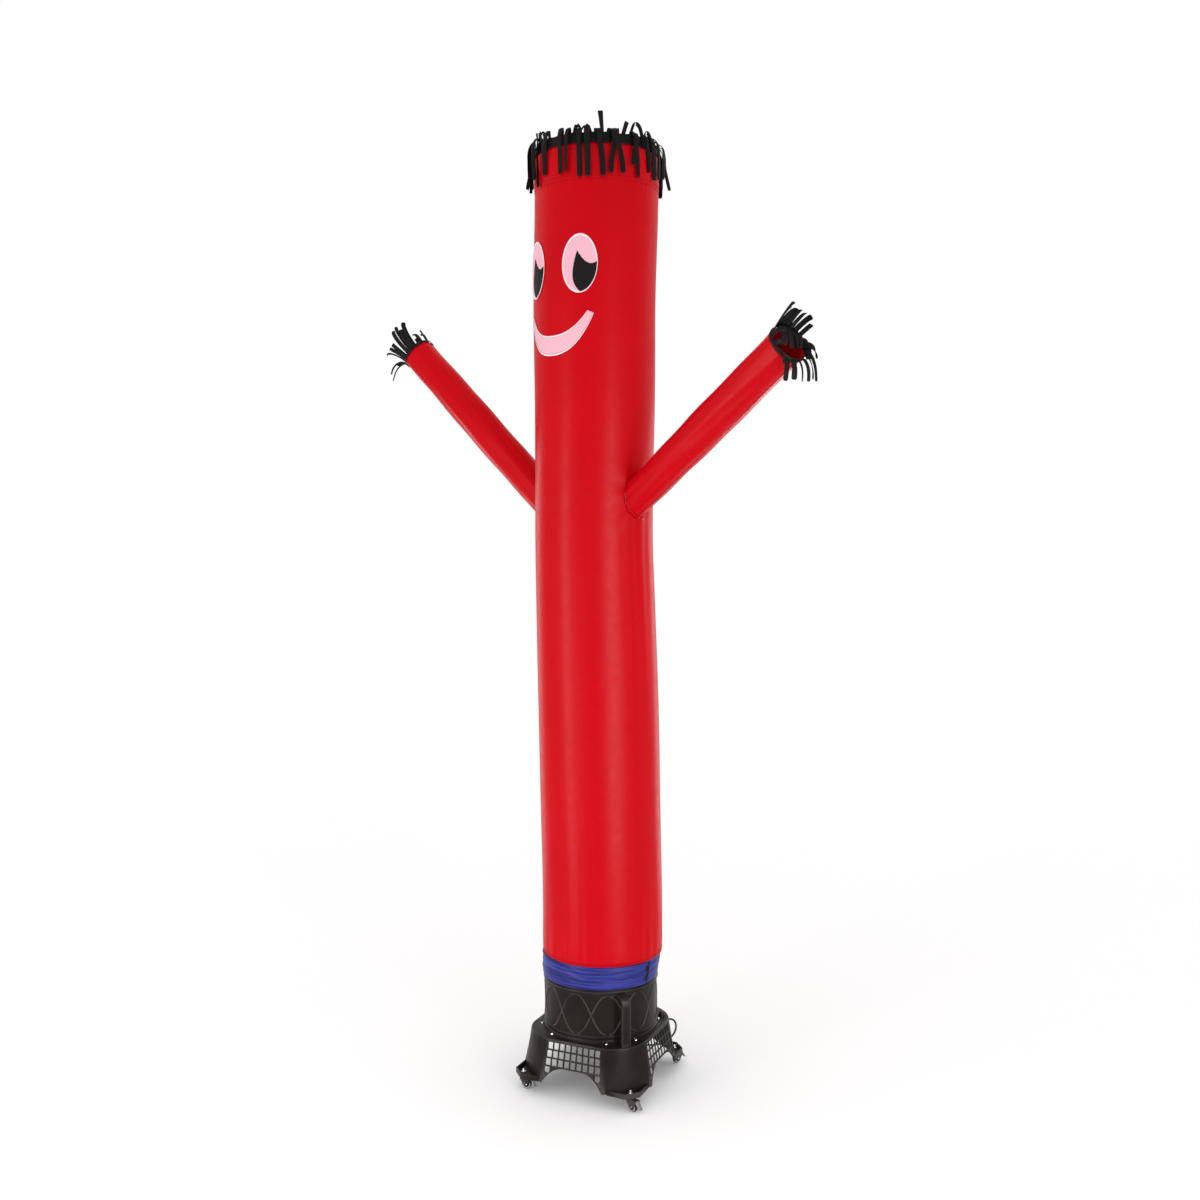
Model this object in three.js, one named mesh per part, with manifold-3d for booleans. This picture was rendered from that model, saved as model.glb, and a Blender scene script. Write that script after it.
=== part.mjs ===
// Inflatable air dancer on the fan blower that it is strapped to. Millimetres, +Z up, floor at z = 0.
// The front grille of the blower faces -Y. An azimuth is in degrees round +Z: 0 is -Y and 90 is +X.
import * as THREE from 'three';
import { mergeVertices } from 'three/addons/utils/BufferGeometryUtils.js';
import Module from 'manifold-3d';

const wasm = await Module();
wasm.setup();

// ---- driving dimensions ------------------------------------------------------------------------
const GAP = 0.3; // between pieces that touch
const CLOTH = 1.2; // thickness of the nylon, with its coating
const FACE_AZIMUTH = -17; // the way the dancer looks
const SWAY_AZIMUTH = 114.7; // the way in which the body tube leans and bows

// Body tube: one row for each section, from the hem at the collar to the top edge.
const BODY = [
  { height: 427, sway: 6, radius: 192 },
  { height: 586, sway: 5, radius: 193 },
  { height: 913, sway: -3, radius: 193.7 },
  { height: 1238, sway: -9.4, radius: 192.8 },
  { height: 1559, sway: -17.4, radius: 190.3 },
  { height: 1751, sway: -22, radius: 188.3 },
  { height: 1878, sway: -22, radius: 188 },
  { height: 2193, sway: -18.8, radius: 190 },
  { height: 2506, sway: -18.7, radius: 192.3 },
  { height: 2815, sway: -12.4, radius: 194.3 },
  { height: 2920, sway: -12, radius: 193.8 },
  { height: 2944, sway: -12, radius: 191 },
];
const BODY_SIDES = 36;
const TOP = BODY.at(-1);

// Collar: one row for each section of the blue band, which tucks 10 mm up inside the body's hem.
const COLLAR = [
  { height: 352, sway: 0, radius: 184.5 },
  { height: 364, sway: 0.4, radius: 185.4 },
  { height: 390, sway: 2.6, radius: 187.8 },
  { height: 437, sway: 6, radius: 190.2 },
];
const LAP = { from: -100, to: 74, low: 353, high: 424, clear: 1, overHook: 0.5, lift: 4.2, columns: 27 };
const HOOK = { from: 66, to: 76.5, low: 356, high: 421, clear: 0.4, thick: 1 };

// Arms: swing is the turn away from the face, at the root seam and along the sleeve.
const ARMS = {
  right: { rootSwing: 88, swing: 79, rise: 32, height: 1885, length: 744 },
  left: { rootSwing: -88, swing: -79, rise: 44, height: 1871, length: 748 },
};
const SLEEVE = [
  { along: -120, radius: 53 },
  { along: 0, radius: 54 },
  { along: 0.6, radius: 57 },
  { along: 1, radius: 55.5 },
];
const SLEEVE_SIDES = 20;

// Black fringes: a heading with cut strips. A few strips of the hair stand up instead of hanging.
const STRIP = { width: 15, thick: 1 };
const HAIR = { strips: 36, below: 14, above: 26, start: 18 };
const STANDING = [
  { strip: 3, rise: 86, lean: -4 },
  { strip: 5, rise: 60, lean: -8 },
  { strip: 6, rise: 52, lean: 6 },
  { strip: 14, rise: 66, lean: 8 },
  { strip: 22, rise: 58, lean: -6 },
  { strip: 31, rise: 64, lean: 7 },
];
const HAND = { strips: 14, behind: 5, beyond: 12 };

// Face pieces, as seen square on: across is the turn from the face's middle.
const EYE = { across: 27.5, height: 2584, halfWidth: 55, halfHeight: 88 };
const MOUTH = { height: 2436, halfWidth: 126, sag: 118, thickness: 56 };

// Blower: duct.
const DRUM = {
  radius: 182, wall: 3, floor: 182.3, rim: 348, neckTop: 410, neckInset: 5, flange: 2, bead: 4,
};
const DRUM_SIDES = 36;
const GUARD = { radius: 176.5, hub: 52, thick: 2.5, spokes: 8, spokeWidth: 6 };
const HANDLE = { azimuth: 45, reach: 223, width: 26, thick: 14, low: 182.3, high: 334 };

// Blower: moulded foot, whose half widths and corner reaches run from its foot to its shoulder.
const FOOT = { low: 48, shoulder: 176, top: 182, wall: 3, shoulderInset: 5 };
const FACE_HALF = { low: 105, high: 93 };
const SIDE_REACH = { low: 225, high: 199 };
const CORNER_REACH = { low: 245, high: 231 };
const CORNER_STEPS = 6;
const ARCH = { half: 104, bend: 72, flat: 30, apex: 99 };
const WINDOW = { edge: 2, top: 176, low: 66, middle: 60 };
const GRILLE = { columns: 9, rows: 3, pitchX: 20, pitchY: 24.6, holeX: 15, holeY: 20, top: 172.5 };
const SHELF = { low: 44, floor: 50, rim: 60, near: 110, far: 216, chamfer: 182, lip: 6 };
const SCREW = { ring: 190, spread: 15, radius: 4.4, dome: 2.6 };
const SWITCH = { azimuth: 127, ring: 206, radius: 12, high: 9, knobRadius: 8.5, knobHigh: 8 };

// Casters: heading is the azimuth in which each one trails.
const CASTER = { reach: 186, trail: 11, wheelRadius: 15.5, wheelWidth: 14, pin: 2.3, crown: 16, neck: 11 };
const BOLT = { nut: 7, nutHigh: 5, screw: 3.4, screwHigh: 8 };
const HEADINGS = { front_right: 70, front_left: 97, back_right: 155, back_left: 130 };
const CORNERS = {
  front_right: [1, -1],
  front_left: [-1, -1],
  back_right: [1, 1],
  back_left: [-1, 1],
};
const WHEEL_SIDES = 24;

// Mains lead: gland on the back right corner, a loop, the way down, then a coil and the plug.
const CORD = { radius: 3.25, sides: 8, steps: 52 };
const GLAND = { turn: 0.75, height: 130, length: 26, base: 8, tip: 5 };
const COIL = { x: -79, y: 316, middle: 37, half: 10.2, high: 13.6 };
const CORD_ROUTE = [
  [149.6, 213.9, 132.9],
  [157, 225.6, 131.4],
  [163.5, 235.9, 124.6],
  [167.3, 242.7, 113.1],
  [167.7, 246.6, 99.6],
  [164.7, 249.3, 86.2],
  [158.9, 251.6, 73.6],
  [151.2, 253.8, 62],
  [142.2, 256, 51.4],
  [132.1, 258.1, 41.8],
  [121.1, 260.1, 33.3],
  [109.3, 262.1, 25.7],
  [97, 264, 19.3],
  [84.1, 265.8, 14],
  [70.7, 267.5, 9.9],
  [57, 269, 7.1],
  [43.1, 270.2, 5.2],
  [29.1, 271.1, 4.2],
  [15, 271.6, 3.8],
  [0.9, 272, 3.6],
  [-13.2, 272.2, 3.6],
  [-27.2, 272.3, 3.6],
  [-41.3, 272.3, 3.6],
  [-55.4, 272.3, 3.6],
];
const TAIL = { length: 22, height: 10.4 };
const PLUG = { body: 38, width: 26, high: 19.8, blade: 17, bladeHigh: 6.3, bladeThick: 1.5, pitch: 12.7 };

// ---- materials ---------------------------------------------------------------------------------
const finish = (color, roughness, metalness = 0) =>
  new THREE.MeshStandardMaterial({ color, roughness, metalness });
const COLOURS = {
  red: [0xcf0a14, 0.45],
  blue: [0x2f2f9a, 0.55],
  black: [0x121212, 0.8],
  pink: [0xf7c6d3, 0.6],
  plastic: [0x2b2523, 0.5],
  steel: [0xb8bcc0, 0.3, 1],
  tyre: [0x1b1b1c, 0.6],
  rubber: [0x151515, 0.65],
  knob: [0x4a1214, 0.4],
};

// ---- helpers -----------------------------------------------------------------------------------
const rad = THREE.MathUtils.degToRad;
const lerp = THREE.MathUtils.lerp;
const UP = new THREE.Vector3(0, 0, 1);
const steps = (count) => Array.from({ length: count }, (_, i) => i);

function toward(azimuth, reach = 1, height = 0) {
  return new THREE.Vector3(Math.sin(rad(azimuth)) * reach, -Math.cos(rad(azimuth)) * reach, height);
}

// A settled number from 0 to 1 for the uneven cut and hang of the strips.
function vary(index, salt) {
  const wave = Math.sin(index * 12.9898 + salt * 78.233) * 43758.5453;
  return wave - Math.floor(wave);
}

function section(rows, height) {
  const upper = Math.max(1, rows.findIndex((row) => row.height >= height));
  const [a, b] = [rows[upper - 1], rows[upper]];
  const t = (height - a.height) / (b.height - a.height);
  return { height, sway: lerp(a.sway, b.sway, t), radius: lerp(a.radius, b.radius, t) };
}

// Closed surface through rings of points that run anticlockwise as seen from the last ring.
// An endless skin joins its last ring to its first, as a hollow sleeve does.
function skin(rings, endless = false) {
  const count = rings[0].length;
  const faces = [];
  const bands = endless ? rings.length : rings.length - 1;
  for (let band = 0; band < bands; band += 1) {
    const here = band * count;
    const there = ((band + 1) % rings.length) * count;
    for (let i = 0; i < count; i += 1) {
      const j = (i + 1) % count;
      faces.push(here + i, here + j, there + j, here + i, there + j, there + i);
    }
  }
  if (!endless) {
    const last = (rings.length - 1) * count;
    for (let i = 1; i < count - 1; i += 1) {
      faces.push(0, i + 1, i, last, last + i, last + i + 1);
    }
  }
  const geometry = new THREE.BufferGeometry();
  const places = rings.flat().flatMap((point) => point.toArray());
  geometry.setAttribute('position', new THREE.Float32BufferAttribute(places, 3));
  geometry.setIndex(faces);
  geometry.computeVertexNormals();
  return geometry;
}

function toSolid(geometry) {
  const bare = geometry.clone();
  bare.deleteAttribute('normal');
  bare.deleteAttribute('uv');
  const merged = mergeVertices(bare, 1e-4);
  const vertProperties = new Float32Array(merged.attributes.position.array);
  const triVerts = new Uint32Array(merged.index.array);
  return new wasm.Manifold(new wasm.Mesh({ numProp: 3, vertProperties, triVerts }));
}

function toGeometry(solid) {
  const mesh = solid.getMesh();
  const geometry = new THREE.BufferGeometry();
  geometry.setAttribute('position', new THREE.BufferAttribute(mesh.vertProperties, 3));
  geometry.setIndex(new THREE.BufferAttribute(mesh.triVerts, 1));
  geometry.computeVertexNormals();
  return geometry;
}

const joined = (geometries) => geometries.map(toSolid).reduce((whole, piece) => whole.add(piece));

function add(parent, name, geometry, colour) {
  const mesh = new THREE.Mesh(geometry, finish(...COLOURS[colour]));
  mesh.name = name;
  parent.add(mesh);
  return mesh;
}

function ring(row, inset, sides = BODY_SIDES, from = 0, to = 360, closed = true) {
  const centre = toward(SWAY_AZIMUTH, row.sway, row.height);
  const spans = closed ? sides : sides - 1;
  return steps(sides).map((i) =>
    toward(lerp(from, to, i / spans), row.radius - inset).add(centre));
}

// Hollow upright sleeve of cloth: its outer face is `inset` inside the rows' radius.
function upright(rows, inset, thick) {
  const outer = rows.map((row) => ring(row, inset));
  const inner = rows.map((row) => ring(row, inset + thick)).reverse();
  return skin([...outer, ...inner], true);
}

const bodyVolume = (inset) => skin(BODY.map((row) => ring(row, inset)));

// Flat strip along a line of points, `across` being its width's direction.
function strip(points, across, width, thick) {
  const rings = points.map((point, i) => {
    const before = points[Math.max(0, i - 1)];
    const after = points[Math.min(points.length - 1, i + 1)];
    const tangent = after.clone().sub(before).normalize();
    const normal = tangent.clone().cross(across).normalize();
    const side = across.clone().multiplyScalar(width / 2);
    const half = normal.multiplyScalar(thick / 2);
    return [
      point.clone().add(side).sub(half),
      point.clone().add(side).add(half),
      point.clone().sub(side).add(half),
      point.clone().sub(side).sub(half),
    ];
  });
  return skin(rings);
}

function boxAt(sizeX, sizeY, sizeZ, x, y, z) {
  return new THREE.BoxGeometry(sizeX, sizeY, sizeZ).translate(x, y, z);
}

// Upright round piece from a profile of [radius, height] points that starts and ends on the axis
// or closes on itself.
function turned(profile, sides) {
  const points = profile.map(([radius, height]) => new THREE.Vector2(radius, height));
  return new THREE.LatheGeometry(points, sides).rotateX(Math.PI / 2);
}

const dancer = new THREE.Group();
const blower = new THREE.Group();
const lead = new THREE.Group();

// ---- body tube and arms ------------------------------------------------------------------------
function armFrame({ rootSwing, swing, rise, height }) {
  const row = section(BODY, height);
  const root = toward(FACE_AZIMUTH + rootSwing, row.radius)
    .add(toward(SWAY_AZIMUTH, row.sway, height));
  const along = toward(FACE_AZIMUTH + swing, Math.cos(rad(rise)), Math.sin(rad(rise)));
  const across = along.clone().cross(UP).normalize();
  const over = across.clone().cross(along);
  return { root, along, across, over };
}

function armPoint(frame, distance, outward, turn) {
  return frame.root.clone()
    .addScaledVector(frame.along, distance)
    .addScaledVector(frame.across, outward * Math.cos(turn))
    .addScaledVector(frame.over, outward * Math.sin(turn));
}

function armRing(frame, distance, radius) {
  // Anticlockwise as seen from the hand: across turns towards over the other way round.
  return steps(SLEEVE_SIDES).map((i) =>
    armPoint(frame, distance, radius, (-2 * Math.PI * i) / SLEEVE_SIDES));
}

function armRows(arm) {
  return SLEEVE.map(({ along, radius }) => ({
    distance: along < 0 ? along : along * arm.length,
    radius,
  }));
}

const hollow = toSolid(bodyVolume(CLOTH));
let body = toSolid(upright(BODY, 0, CLOTH));
for (const [side, arm] of Object.entries(ARMS)) {
  const frame = armFrame(arm);
  const rows = armRows(arm);
  const outer = rows.map(({ distance, radius }) => armRing(frame, distance, radius));
  const inner = rows.map(({ distance, radius }) => armRing(frame, distance, radius - CLOTH));
  const sleeve = toSolid(skin([...outer, ...inner.reverse()], true)).subtract(hollow);
  const hole = rows.slice(0, 3).map(({ distance, radius }) => armRing(frame, distance, radius + GAP));
  body = body.subtract(toSolid(skin(hole)));
  add(dancer, `arm_${side}`, toGeometry(sleeve), 'red');
}
add(dancer, 'tube', toGeometry(body), 'red');

// ---- hair and hand fringes ---------------------------------------------------------------------
// Each strip of the hair is a line of [distance out, height over the top edge, sideways] points.
const standingStrip = (start, { rise, lean }) => [
  [start, HAIR.start, 0],
  [start + 2, lerp(HAIR.start, rise, 0.5), lean * 0.4],
  [start + 14, rise, lean],
];

function hangingStrip(start, i) {
  const lift = 32 + 16 * vary(i, 2);
  const out = 10 + 14 * vary(i, 3);
  const drop = 92 + 24 * vary(i, 4);
  const lean = 34 * (vary(i, 5) - 0.5);
  return [
    [start, HAIR.start, 0],
    [start + out * 0.4, lift, lean * 0.2],
    [start + out + 3, 12, lean * 0.5],
    [start + out * 0.8 + 5, -drop, lean * 1.3],
  ];
}

function hair() {
  const reach = TOP.radius + GAP;
  const rows = [
    { height: TOP.height - HAIR.below, sway: TOP.sway, radius: reach + 2.2 + CLOTH },
    { height: TOP.height + 2, sway: TOP.sway, radius: reach + CLOTH },
    { height: TOP.height + HAIR.above, sway: TOP.sway, radius: reach - 3 + CLOTH },
  ];
  const pieces = [upright(rows, 0, CLOTH)];
  const centre = toward(SWAY_AZIMUTH, TOP.sway, TOP.height);
  for (const i of steps(HAIR.strips)) {
    const azimuth = (360 * (i + 0.3 * (vary(i, 1) - 0.5))) / HAIR.strips;
    const standing = STANDING.find((row) => row.strip === i);
    const start = reach - 3 + CLOTH / 2;
    const line = standing ? standingStrip(start, standing) : hangingStrip(start, i);
    const points = line.map(([radius, height, sideways]) =>
      toward(azimuth, radius, height).addScaledVector(toward(azimuth + 90), sideways).add(centre));
    pieces.push(strip(points, toward(azimuth + 90), STRIP.width, STRIP.thick));
  }
  return toGeometry(joined(pieces));
}
add(dancer, 'hair', hair(), 'black');

function handFringe(arm) {
  const frame = armFrame(arm);
  const wrist = SLEEVE.at(-1).radius + GAP;
  const heading = [
    [arm.length - HAND.behind, wrist + CLOTH + 0.4],
    [arm.length + 1, wrist + CLOTH],
    [arm.length + HAND.beyond, wrist - 2 + CLOTH],
  ];
  const outer = heading.map(([distance, radius]) => armRing(frame, distance, radius));
  const inner = heading.map(([distance, radius]) => armRing(frame, distance, radius - CLOTH));
  const pieces = [skin([...outer, ...inner.reverse()], true)];
  const start = wrist - 2 + CLOTH / 2;
  for (const i of steps(HAND.strips)) {
    const turn = (2 * Math.PI * (i + 0.3 * (vary(i, 6) - 0.5))) / HAND.strips;
    const top = Math.sin(turn);
    const reach = lerp(30, 88, (top + 1) / 2) + 16 * (vary(i, 7) - 0.5);
    const rise = lerp(-88, 14, (top + 1) / 2) + 14 * (vary(i, 8) - 0.5);
    const swing = 26 * (vary(i, 9) - 0.5);
    const flick = frame.across.clone().multiplyScalar(swing);
    const points = [
      armPoint(frame, arm.length + 6, start, turn),
      armPoint(frame, arm.length + 16 + reach * 0.3, start + 5, turn).addScaledVector(UP, rise * 0.2),
      armPoint(frame, arm.length + 14 + reach, start + 10, turn).addScaledVector(UP, rise).add(flick),
    ];
    const side = frame.over.clone().multiplyScalar(Math.cos(turn))
      .addScaledVector(frame.across, -Math.sin(turn));
    pieces.push(strip(points, side, STRIP.width, STRIP.thick));
  }
  return toGeometry(joined(pieces));
}
add(dancer, 'hand_fringe_right', handFringe(ARMS.right), 'black');
add(dancer, 'hand_fringe_left', handFringe(ARMS.left), 'black');

// ---- face --------------------------------------------------------------------------------------
// A flat outline, drawn as seen from outside, is laid on the body at an azimuth and a height.
function patch(outline, azimuth, height, reachUp, reachDown, layer) {
  const depth = 120;
  const block = new THREE.ExtrudeGeometry(outline, { depth, bevelEnabled: false, curveSegments: 6 });
  const place = new THREE.Matrix4().makeBasis(toward(azimuth + 90), UP, toward(azimuth));
  const row = section(BODY, height);
  place.setPosition(toward(SWAY_AZIMUTH, row.sway, height).add(toward(azimuth, 110)));
  block.applyMatrix4(place);
  const heights = [height - reachDown, ...BODY.map((level) => level.height), height + reachUp]
    .filter((level) => level >= height - reachDown && level <= height + reachUp)
    .sort((a, b) => a - b);
  const rows = heights.map((level) => section(BODY, level));
  const offset = GAP + layer * (CLOTH + GAP);
  return toGeometry(toSolid(upright(rows, -(offset + CLOTH), CLOTH)).intersect(toSolid(block)));
}

function eyeOutline() {
  const outline = new THREE.Shape();
  outline.absellipse(0, 0, EYE.halfWidth, EYE.halfHeight, 0, 2 * Math.PI, false, 0);
  return outline;
}

// The pupil fills the eye's lower right, with a round bite out of its top that leaves a spike.
function pupilOutline() {
  const w = EYE.halfWidth;
  const h = EYE.halfHeight;
  const edge = 0.96;
  const outline = new THREE.Shape();
  outline.moveTo(-0.13 * w, 0.42 * h);
  outline.bezierCurveTo(-0.3 * w, 0.05 * h, -0.5 * w, -0.45 * h, -0.22 * w, -0.74 * h);
  outline.quadraticCurveTo(-0.08 * w, -0.88 * h, 0.06 * w, -edge * h);
  outline.absellipse(0, 0, edge * w, edge * h, -Math.PI / 2 + 0.06, 0.06, false, 0);
  outline.quadraticCurveTo(0.72 * w, -0.06 * h, 0.5 * w, 0);
  outline.quadraticCurveTo(0.22 * w, 0.06 * h, -0.13 * w, 0.42 * h);
  return outline;
}

// The smile is the space between two arcs that meet near its ends.
function mouthOutline() {
  const { halfWidth: w, sag, thickness } = MOUTH;
  const outline = new THREE.Shape();
  outline.moveTo(-w, 0);
  outline.bezierCurveTo(-w * 0.72, -sag * 0.9, -w * 0.36, -sag * 1.04, 0, -sag * 1.04);
  outline.bezierCurveTo(w * 0.36, -sag * 1.04, w * 0.72, -sag * 0.9, w, 0);
  outline.lineTo(w * 0.88, 8);
  outline.bezierCurveTo(w * 0.6, -(sag - thickness) * 0.86, w * 0.3, thickness - sag, 0, thickness - sag);
  outline.bezierCurveTo(-w * 0.3, thickness - sag, -w * 0.6, -(sag - thickness) * 0.86, -w * 0.88, 8);
  outline.closePath();
  return outline;
}

for (const [side, sign] of [['right', 1], ['left', -1]]) {
  const azimuth = FACE_AZIMUTH + sign * EYE.across;
  add(dancer, `eye_white_${side}`, patch(eyeOutline(), azimuth, EYE.height, 90, 90, 0), 'pink');
  add(dancer, `pupil_${side}`, patch(pupilOutline(), azimuth, EYE.height, 90, 90, 1), 'black');
}
add(dancer, 'mouth', patch(mouthOutline(), FACE_AZIMUTH, MOUTH.height, 10, 120, 0), 'pink');

// ---- collar ------------------------------------------------------------------------------------
add(dancer, 'collar', upright(COLLAR, 0, CLOTH), 'blue');

const collarLevels = (low, high) => [
  low,
  ...COLLAR.map((row) => row.height).filter((height) => height > low && height < high),
  high,
].map((height) => section(COLLAR, height));

// The lap is a part band outside the collar. It lies close round the front, climbs over the hook
// strip and lifts at its loose edge.
function collarLap() {
  const rows = collarLevels(LAP.low, LAP.high);
  const hookTop = HOOK.clear + HOOK.thick + LAP.overHook;
  const column = (azimuth, out) => rows.map((row) =>
    toward(azimuth, row.radius + out).add(toward(SWAY_AZIMUTH, row.sway, row.height)));
  const rings = steps(LAP.columns).map((i) => {
    const azimuth = lerp(LAP.from, LAP.to, i / (LAP.columns - 1));
    const climb = THREE.MathUtils.smoothstep(azimuth, HOOK.from - 14, HOOK.from - 2);
    const flare = THREE.MathUtils.smoothstep(azimuth, HOOK.from, LAP.to);
    const out = LAP.clear + climb * (hookTop - GAP) + flare * (LAP.lift - hookTop);
    return [...column(azimuth, out), ...column(azimuth, out + CLOTH).reverse()];
  });
  return skin(rings);
}
add(dancer, 'collar_lap', collarLap(), 'blue');

// The hook strip is a slice of a band, between two azimuths.
function hookStrip() {
  const band = upright(collarLevels(HOOK.low, HOOK.high), -HOOK.clear - HOOK.thick, HOOK.thick);
  const beyond = 2 * COLLAR[0].radius;
  const outline = new THREE.Shape();
  outline.moveTo(0, 0);
  for (const azimuth of [HOOK.from, HOOK.to]) {
    const corner = toward(azimuth, beyond);
    outline.lineTo(corner.x, corner.y);
  }
  outline.closePath();
  const wedge = new THREE.ExtrudeGeometry(outline, { depth: LAP.high, bevelEnabled: false });
  return toGeometry(toSolid(band).intersect(toSolid(wedge.translate(0, 0, LAP.high / 2))));
}
add(dancer, 'hook_strip', hookStrip(), 'black');

// ---- duct --------------------------------------------------------------------------------------
function drum() {
  const { radius: r, wall, floor, rim, neckTop, flange, bead } = DRUM;
  const neck = r - DRUM.neckInset;
  return turned([
    [r - wall, floor],
    [r + flange, floor],
    [r + flange, floor + 7],
    [r, floor + 9],
    [r, floor + 16],
    [r, rim - 12],
    [r + bead - 0.5, rim - 9],
    [r + bead, rim - 3],
    [r + 1, rim],
    [r + 1, rim + 12],
    [neck, rim + 20],
    [neck, neckTop],
    [neck - wall, neckTop],
    [neck - wall, rim],
    [r - wall, rim - 12],
    [r - wall, floor],
  ], DRUM_SIDES);
}
add(blower, 'drum', drum(), 'plastic');

function inletGuard() {
  const { radius, hub, thick, spokes, spokeWidth } = GUARD;
  const low = DRUM.floor;
  const hoop = (outer, width) => turned([
    [outer - width, low],
    [outer, low],
    [outer, low + thick],
    [outer - width, low + thick],
    [outer - width, low],
  ], 24);
  const plate = turned([[0, low], [hub, low], [hub, low + thick], [0, low + thick]], 24);
  const pieces = [hoop(radius, 8), plate];
  for (const i of steps(spokes)) {
    const length = radius - hub;
    const spoke = boxAt(length, spokeWidth, thick - 0.4, hub + length / 2 - 3, 0, low + thick / 2);
    pieces.push(spoke.rotateZ((2 * Math.PI * (i + 0.5)) / spokes));
  }
  return toGeometry(joined(pieces));
}
add(blower, 'inlet_guard', inletGuard(), 'plastic');

// Upright grip that bends in to the drum at its top and stands on the foot's shoulder.
function handle(azimuth) {
  const { reach, width, thick, low, high } = HANDLE;
  const near = DRUM.radius * Math.cos(Math.PI / DRUM_SIDES) + GAP;
  const outer = reach + thick / 2;
  const inner = reach - thick / 2;
  const outline = new THREE.Shape();
  outline.moveTo(inner, low);
  outline.lineTo(outer, low);
  outline.lineTo(outer, high - 22);
  outline.quadraticCurveTo(outer, high, outer - 24, high);
  outline.lineTo(near, high - 2);
  outline.lineTo(near, high - 16);
  outline.lineTo(inner - 10, high - 14);
  outline.quadraticCurveTo(inner, high - 15, inner, high - 26);
  outline.closePath();
  const geometry = new THREE.ExtrudeGeometry(outline, {
    depth: width, bevelEnabled: false, curveSegments: 5,
  });
  geometry.translate(0, 0, -width / 2);
  const place = new THREE.Matrix4().makeBasis(toward(azimuth), UP, toward(azimuth - 90));
  return geometry.applyMatrix4(place);
}
add(blower, 'handle_front', handle(HANDLE.azimuth), 'plastic');
add(blower, 'handle_back', handle(HANDLE.azimuth + 180), 'plastic');

// ---- moulded foot ------------------------------------------------------------------------------
const footT = (height) => Math.min(1, (height - FOOT.low) / (FOOT.shoulder - FOOT.low));
const footSize = (range, height) => lerp(range.low, range.high, footT(height));

// Arc of one corner panel, from the end of one side face to the start of the next.
function cornerArc(half, side, corner) {
  const middle = (half + side) / Math.SQRT2;
  const halfChord = (side - half) / Math.SQRT2;
  const rise = corner - middle;
  const radius = (halfChord * halfChord + rise * rise) / (2 * rise);
  const sweep = THREE.MathUtils.radToDeg(Math.asin(halfChord / radius));
  return { centre: corner - radius, radius, sweep };
}

function footRing(height, inset) {
  const side = footSize(SIDE_REACH, height) - inset;
  const corner = footSize(CORNER_REACH, height) - inset;
  const half = footSize(FACE_HALF, height);
  const arc = cornerArc(half, side, corner);
  const quarter = [0, 90, 180, 270];
  return quarter.flatMap((turn) => steps(CORNER_STEPS + 1).map((i) => {
    const azimuth = turn + 45 + lerp(-arc.sweep, arc.sweep, i / CORNER_STEPS);
    return toward(turn + 45, arc.centre, height).add(toward(azimuth, arc.radius));
  }));
}

function shelf(signX, signY) {
  const { low, rim, near, far, chamfer } = SHELF;
  const outlineOf = (inset) => {
    const edge = far - inset;
    const cut = chamfer - inset * 0.42;
    const start = near + inset;
    const outline = new THREE.Shape();
    outline.moveTo(start, start);
    outline.lineTo(edge, start);
    outline.lineTo(edge, cut);
    outline.lineTo(cut, edge);
    outline.lineTo(start, edge);
    outline.closePath();
    return outline;
  };
  const block = (inset, from, to) => {
    const depth = to - from;
    const geometry = new THREE.ExtrudeGeometry(outlineOf(inset), { depth, bevelEnabled: false });
    return toSolid(geometry.translate(0, 0, from).rotateZ(Math.atan2(signY, signX) - Math.PI / 4));
  };
  return block(0, low, rim).subtract(block(SHELF.lip, SHELF.floor, rim + 10));
}

function archOutline() {
  const { half, bend, flat, apex } = ARCH;
  const outline = new THREE.Shape();
  outline.moveTo(-half, 0);
  outline.lineTo(-half, FOOT.low);
  outline.quadraticCurveTo(-bend, apex, -flat, apex);
  outline.lineTo(flat, apex);
  outline.quadraticCurveTo(bend, apex, half, FOOT.low);
  outline.lineTo(half, 0);
  outline.closePath();
  return outline;
}

function windowOutline(grow) {
  const { edge, top, low, middle } = WINDOW;
  const topHalf = footSize(FACE_HALF, top) - edge + grow;
  const lowHalf = footSize(FACE_HALF, low) - edge + grow;
  const outline = new THREE.Shape();
  outline.moveTo(-topHalf, top + grow);
  outline.lineTo(-lowHalf, low - grow);
  outline.lineTo(-middle, low - grow);
  outline.lineTo(-middle, 0);
  outline.lineTo(middle, 0);
  outline.lineTo(middle, low - grow);
  outline.lineTo(lowHalf, low - grow);
  outline.lineTo(topHalf, top + grow);
  outline.closePath();
  return outline;
}

// Prism through the front face, turned by quarters to the other faces.
function throughFace(outline, quarter, reach = 140) {
  const geometry = new THREE.ExtrudeGeometry(outline, {
    depth: reach, bevelEnabled: false, curveSegments: 5,
  });
  geometry.rotateX(Math.PI / 2).translate(0, -120, 0);
  return toSolid(geometry.rotateZ((quarter * Math.PI) / 2));
}

// The foot's whole outside as one solid, `inset` inside its outer face.
function footVolume(inset, low, top) {
  const shoulder = FOOT.shoulder - (inset > 0 ? inset : 0);
  return toSolid(skin([
    footRing(low, inset),
    footRing(shoulder, inset),
    footRing(top, inset + FOOT.shoulderInset),
  ]));
}

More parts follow.
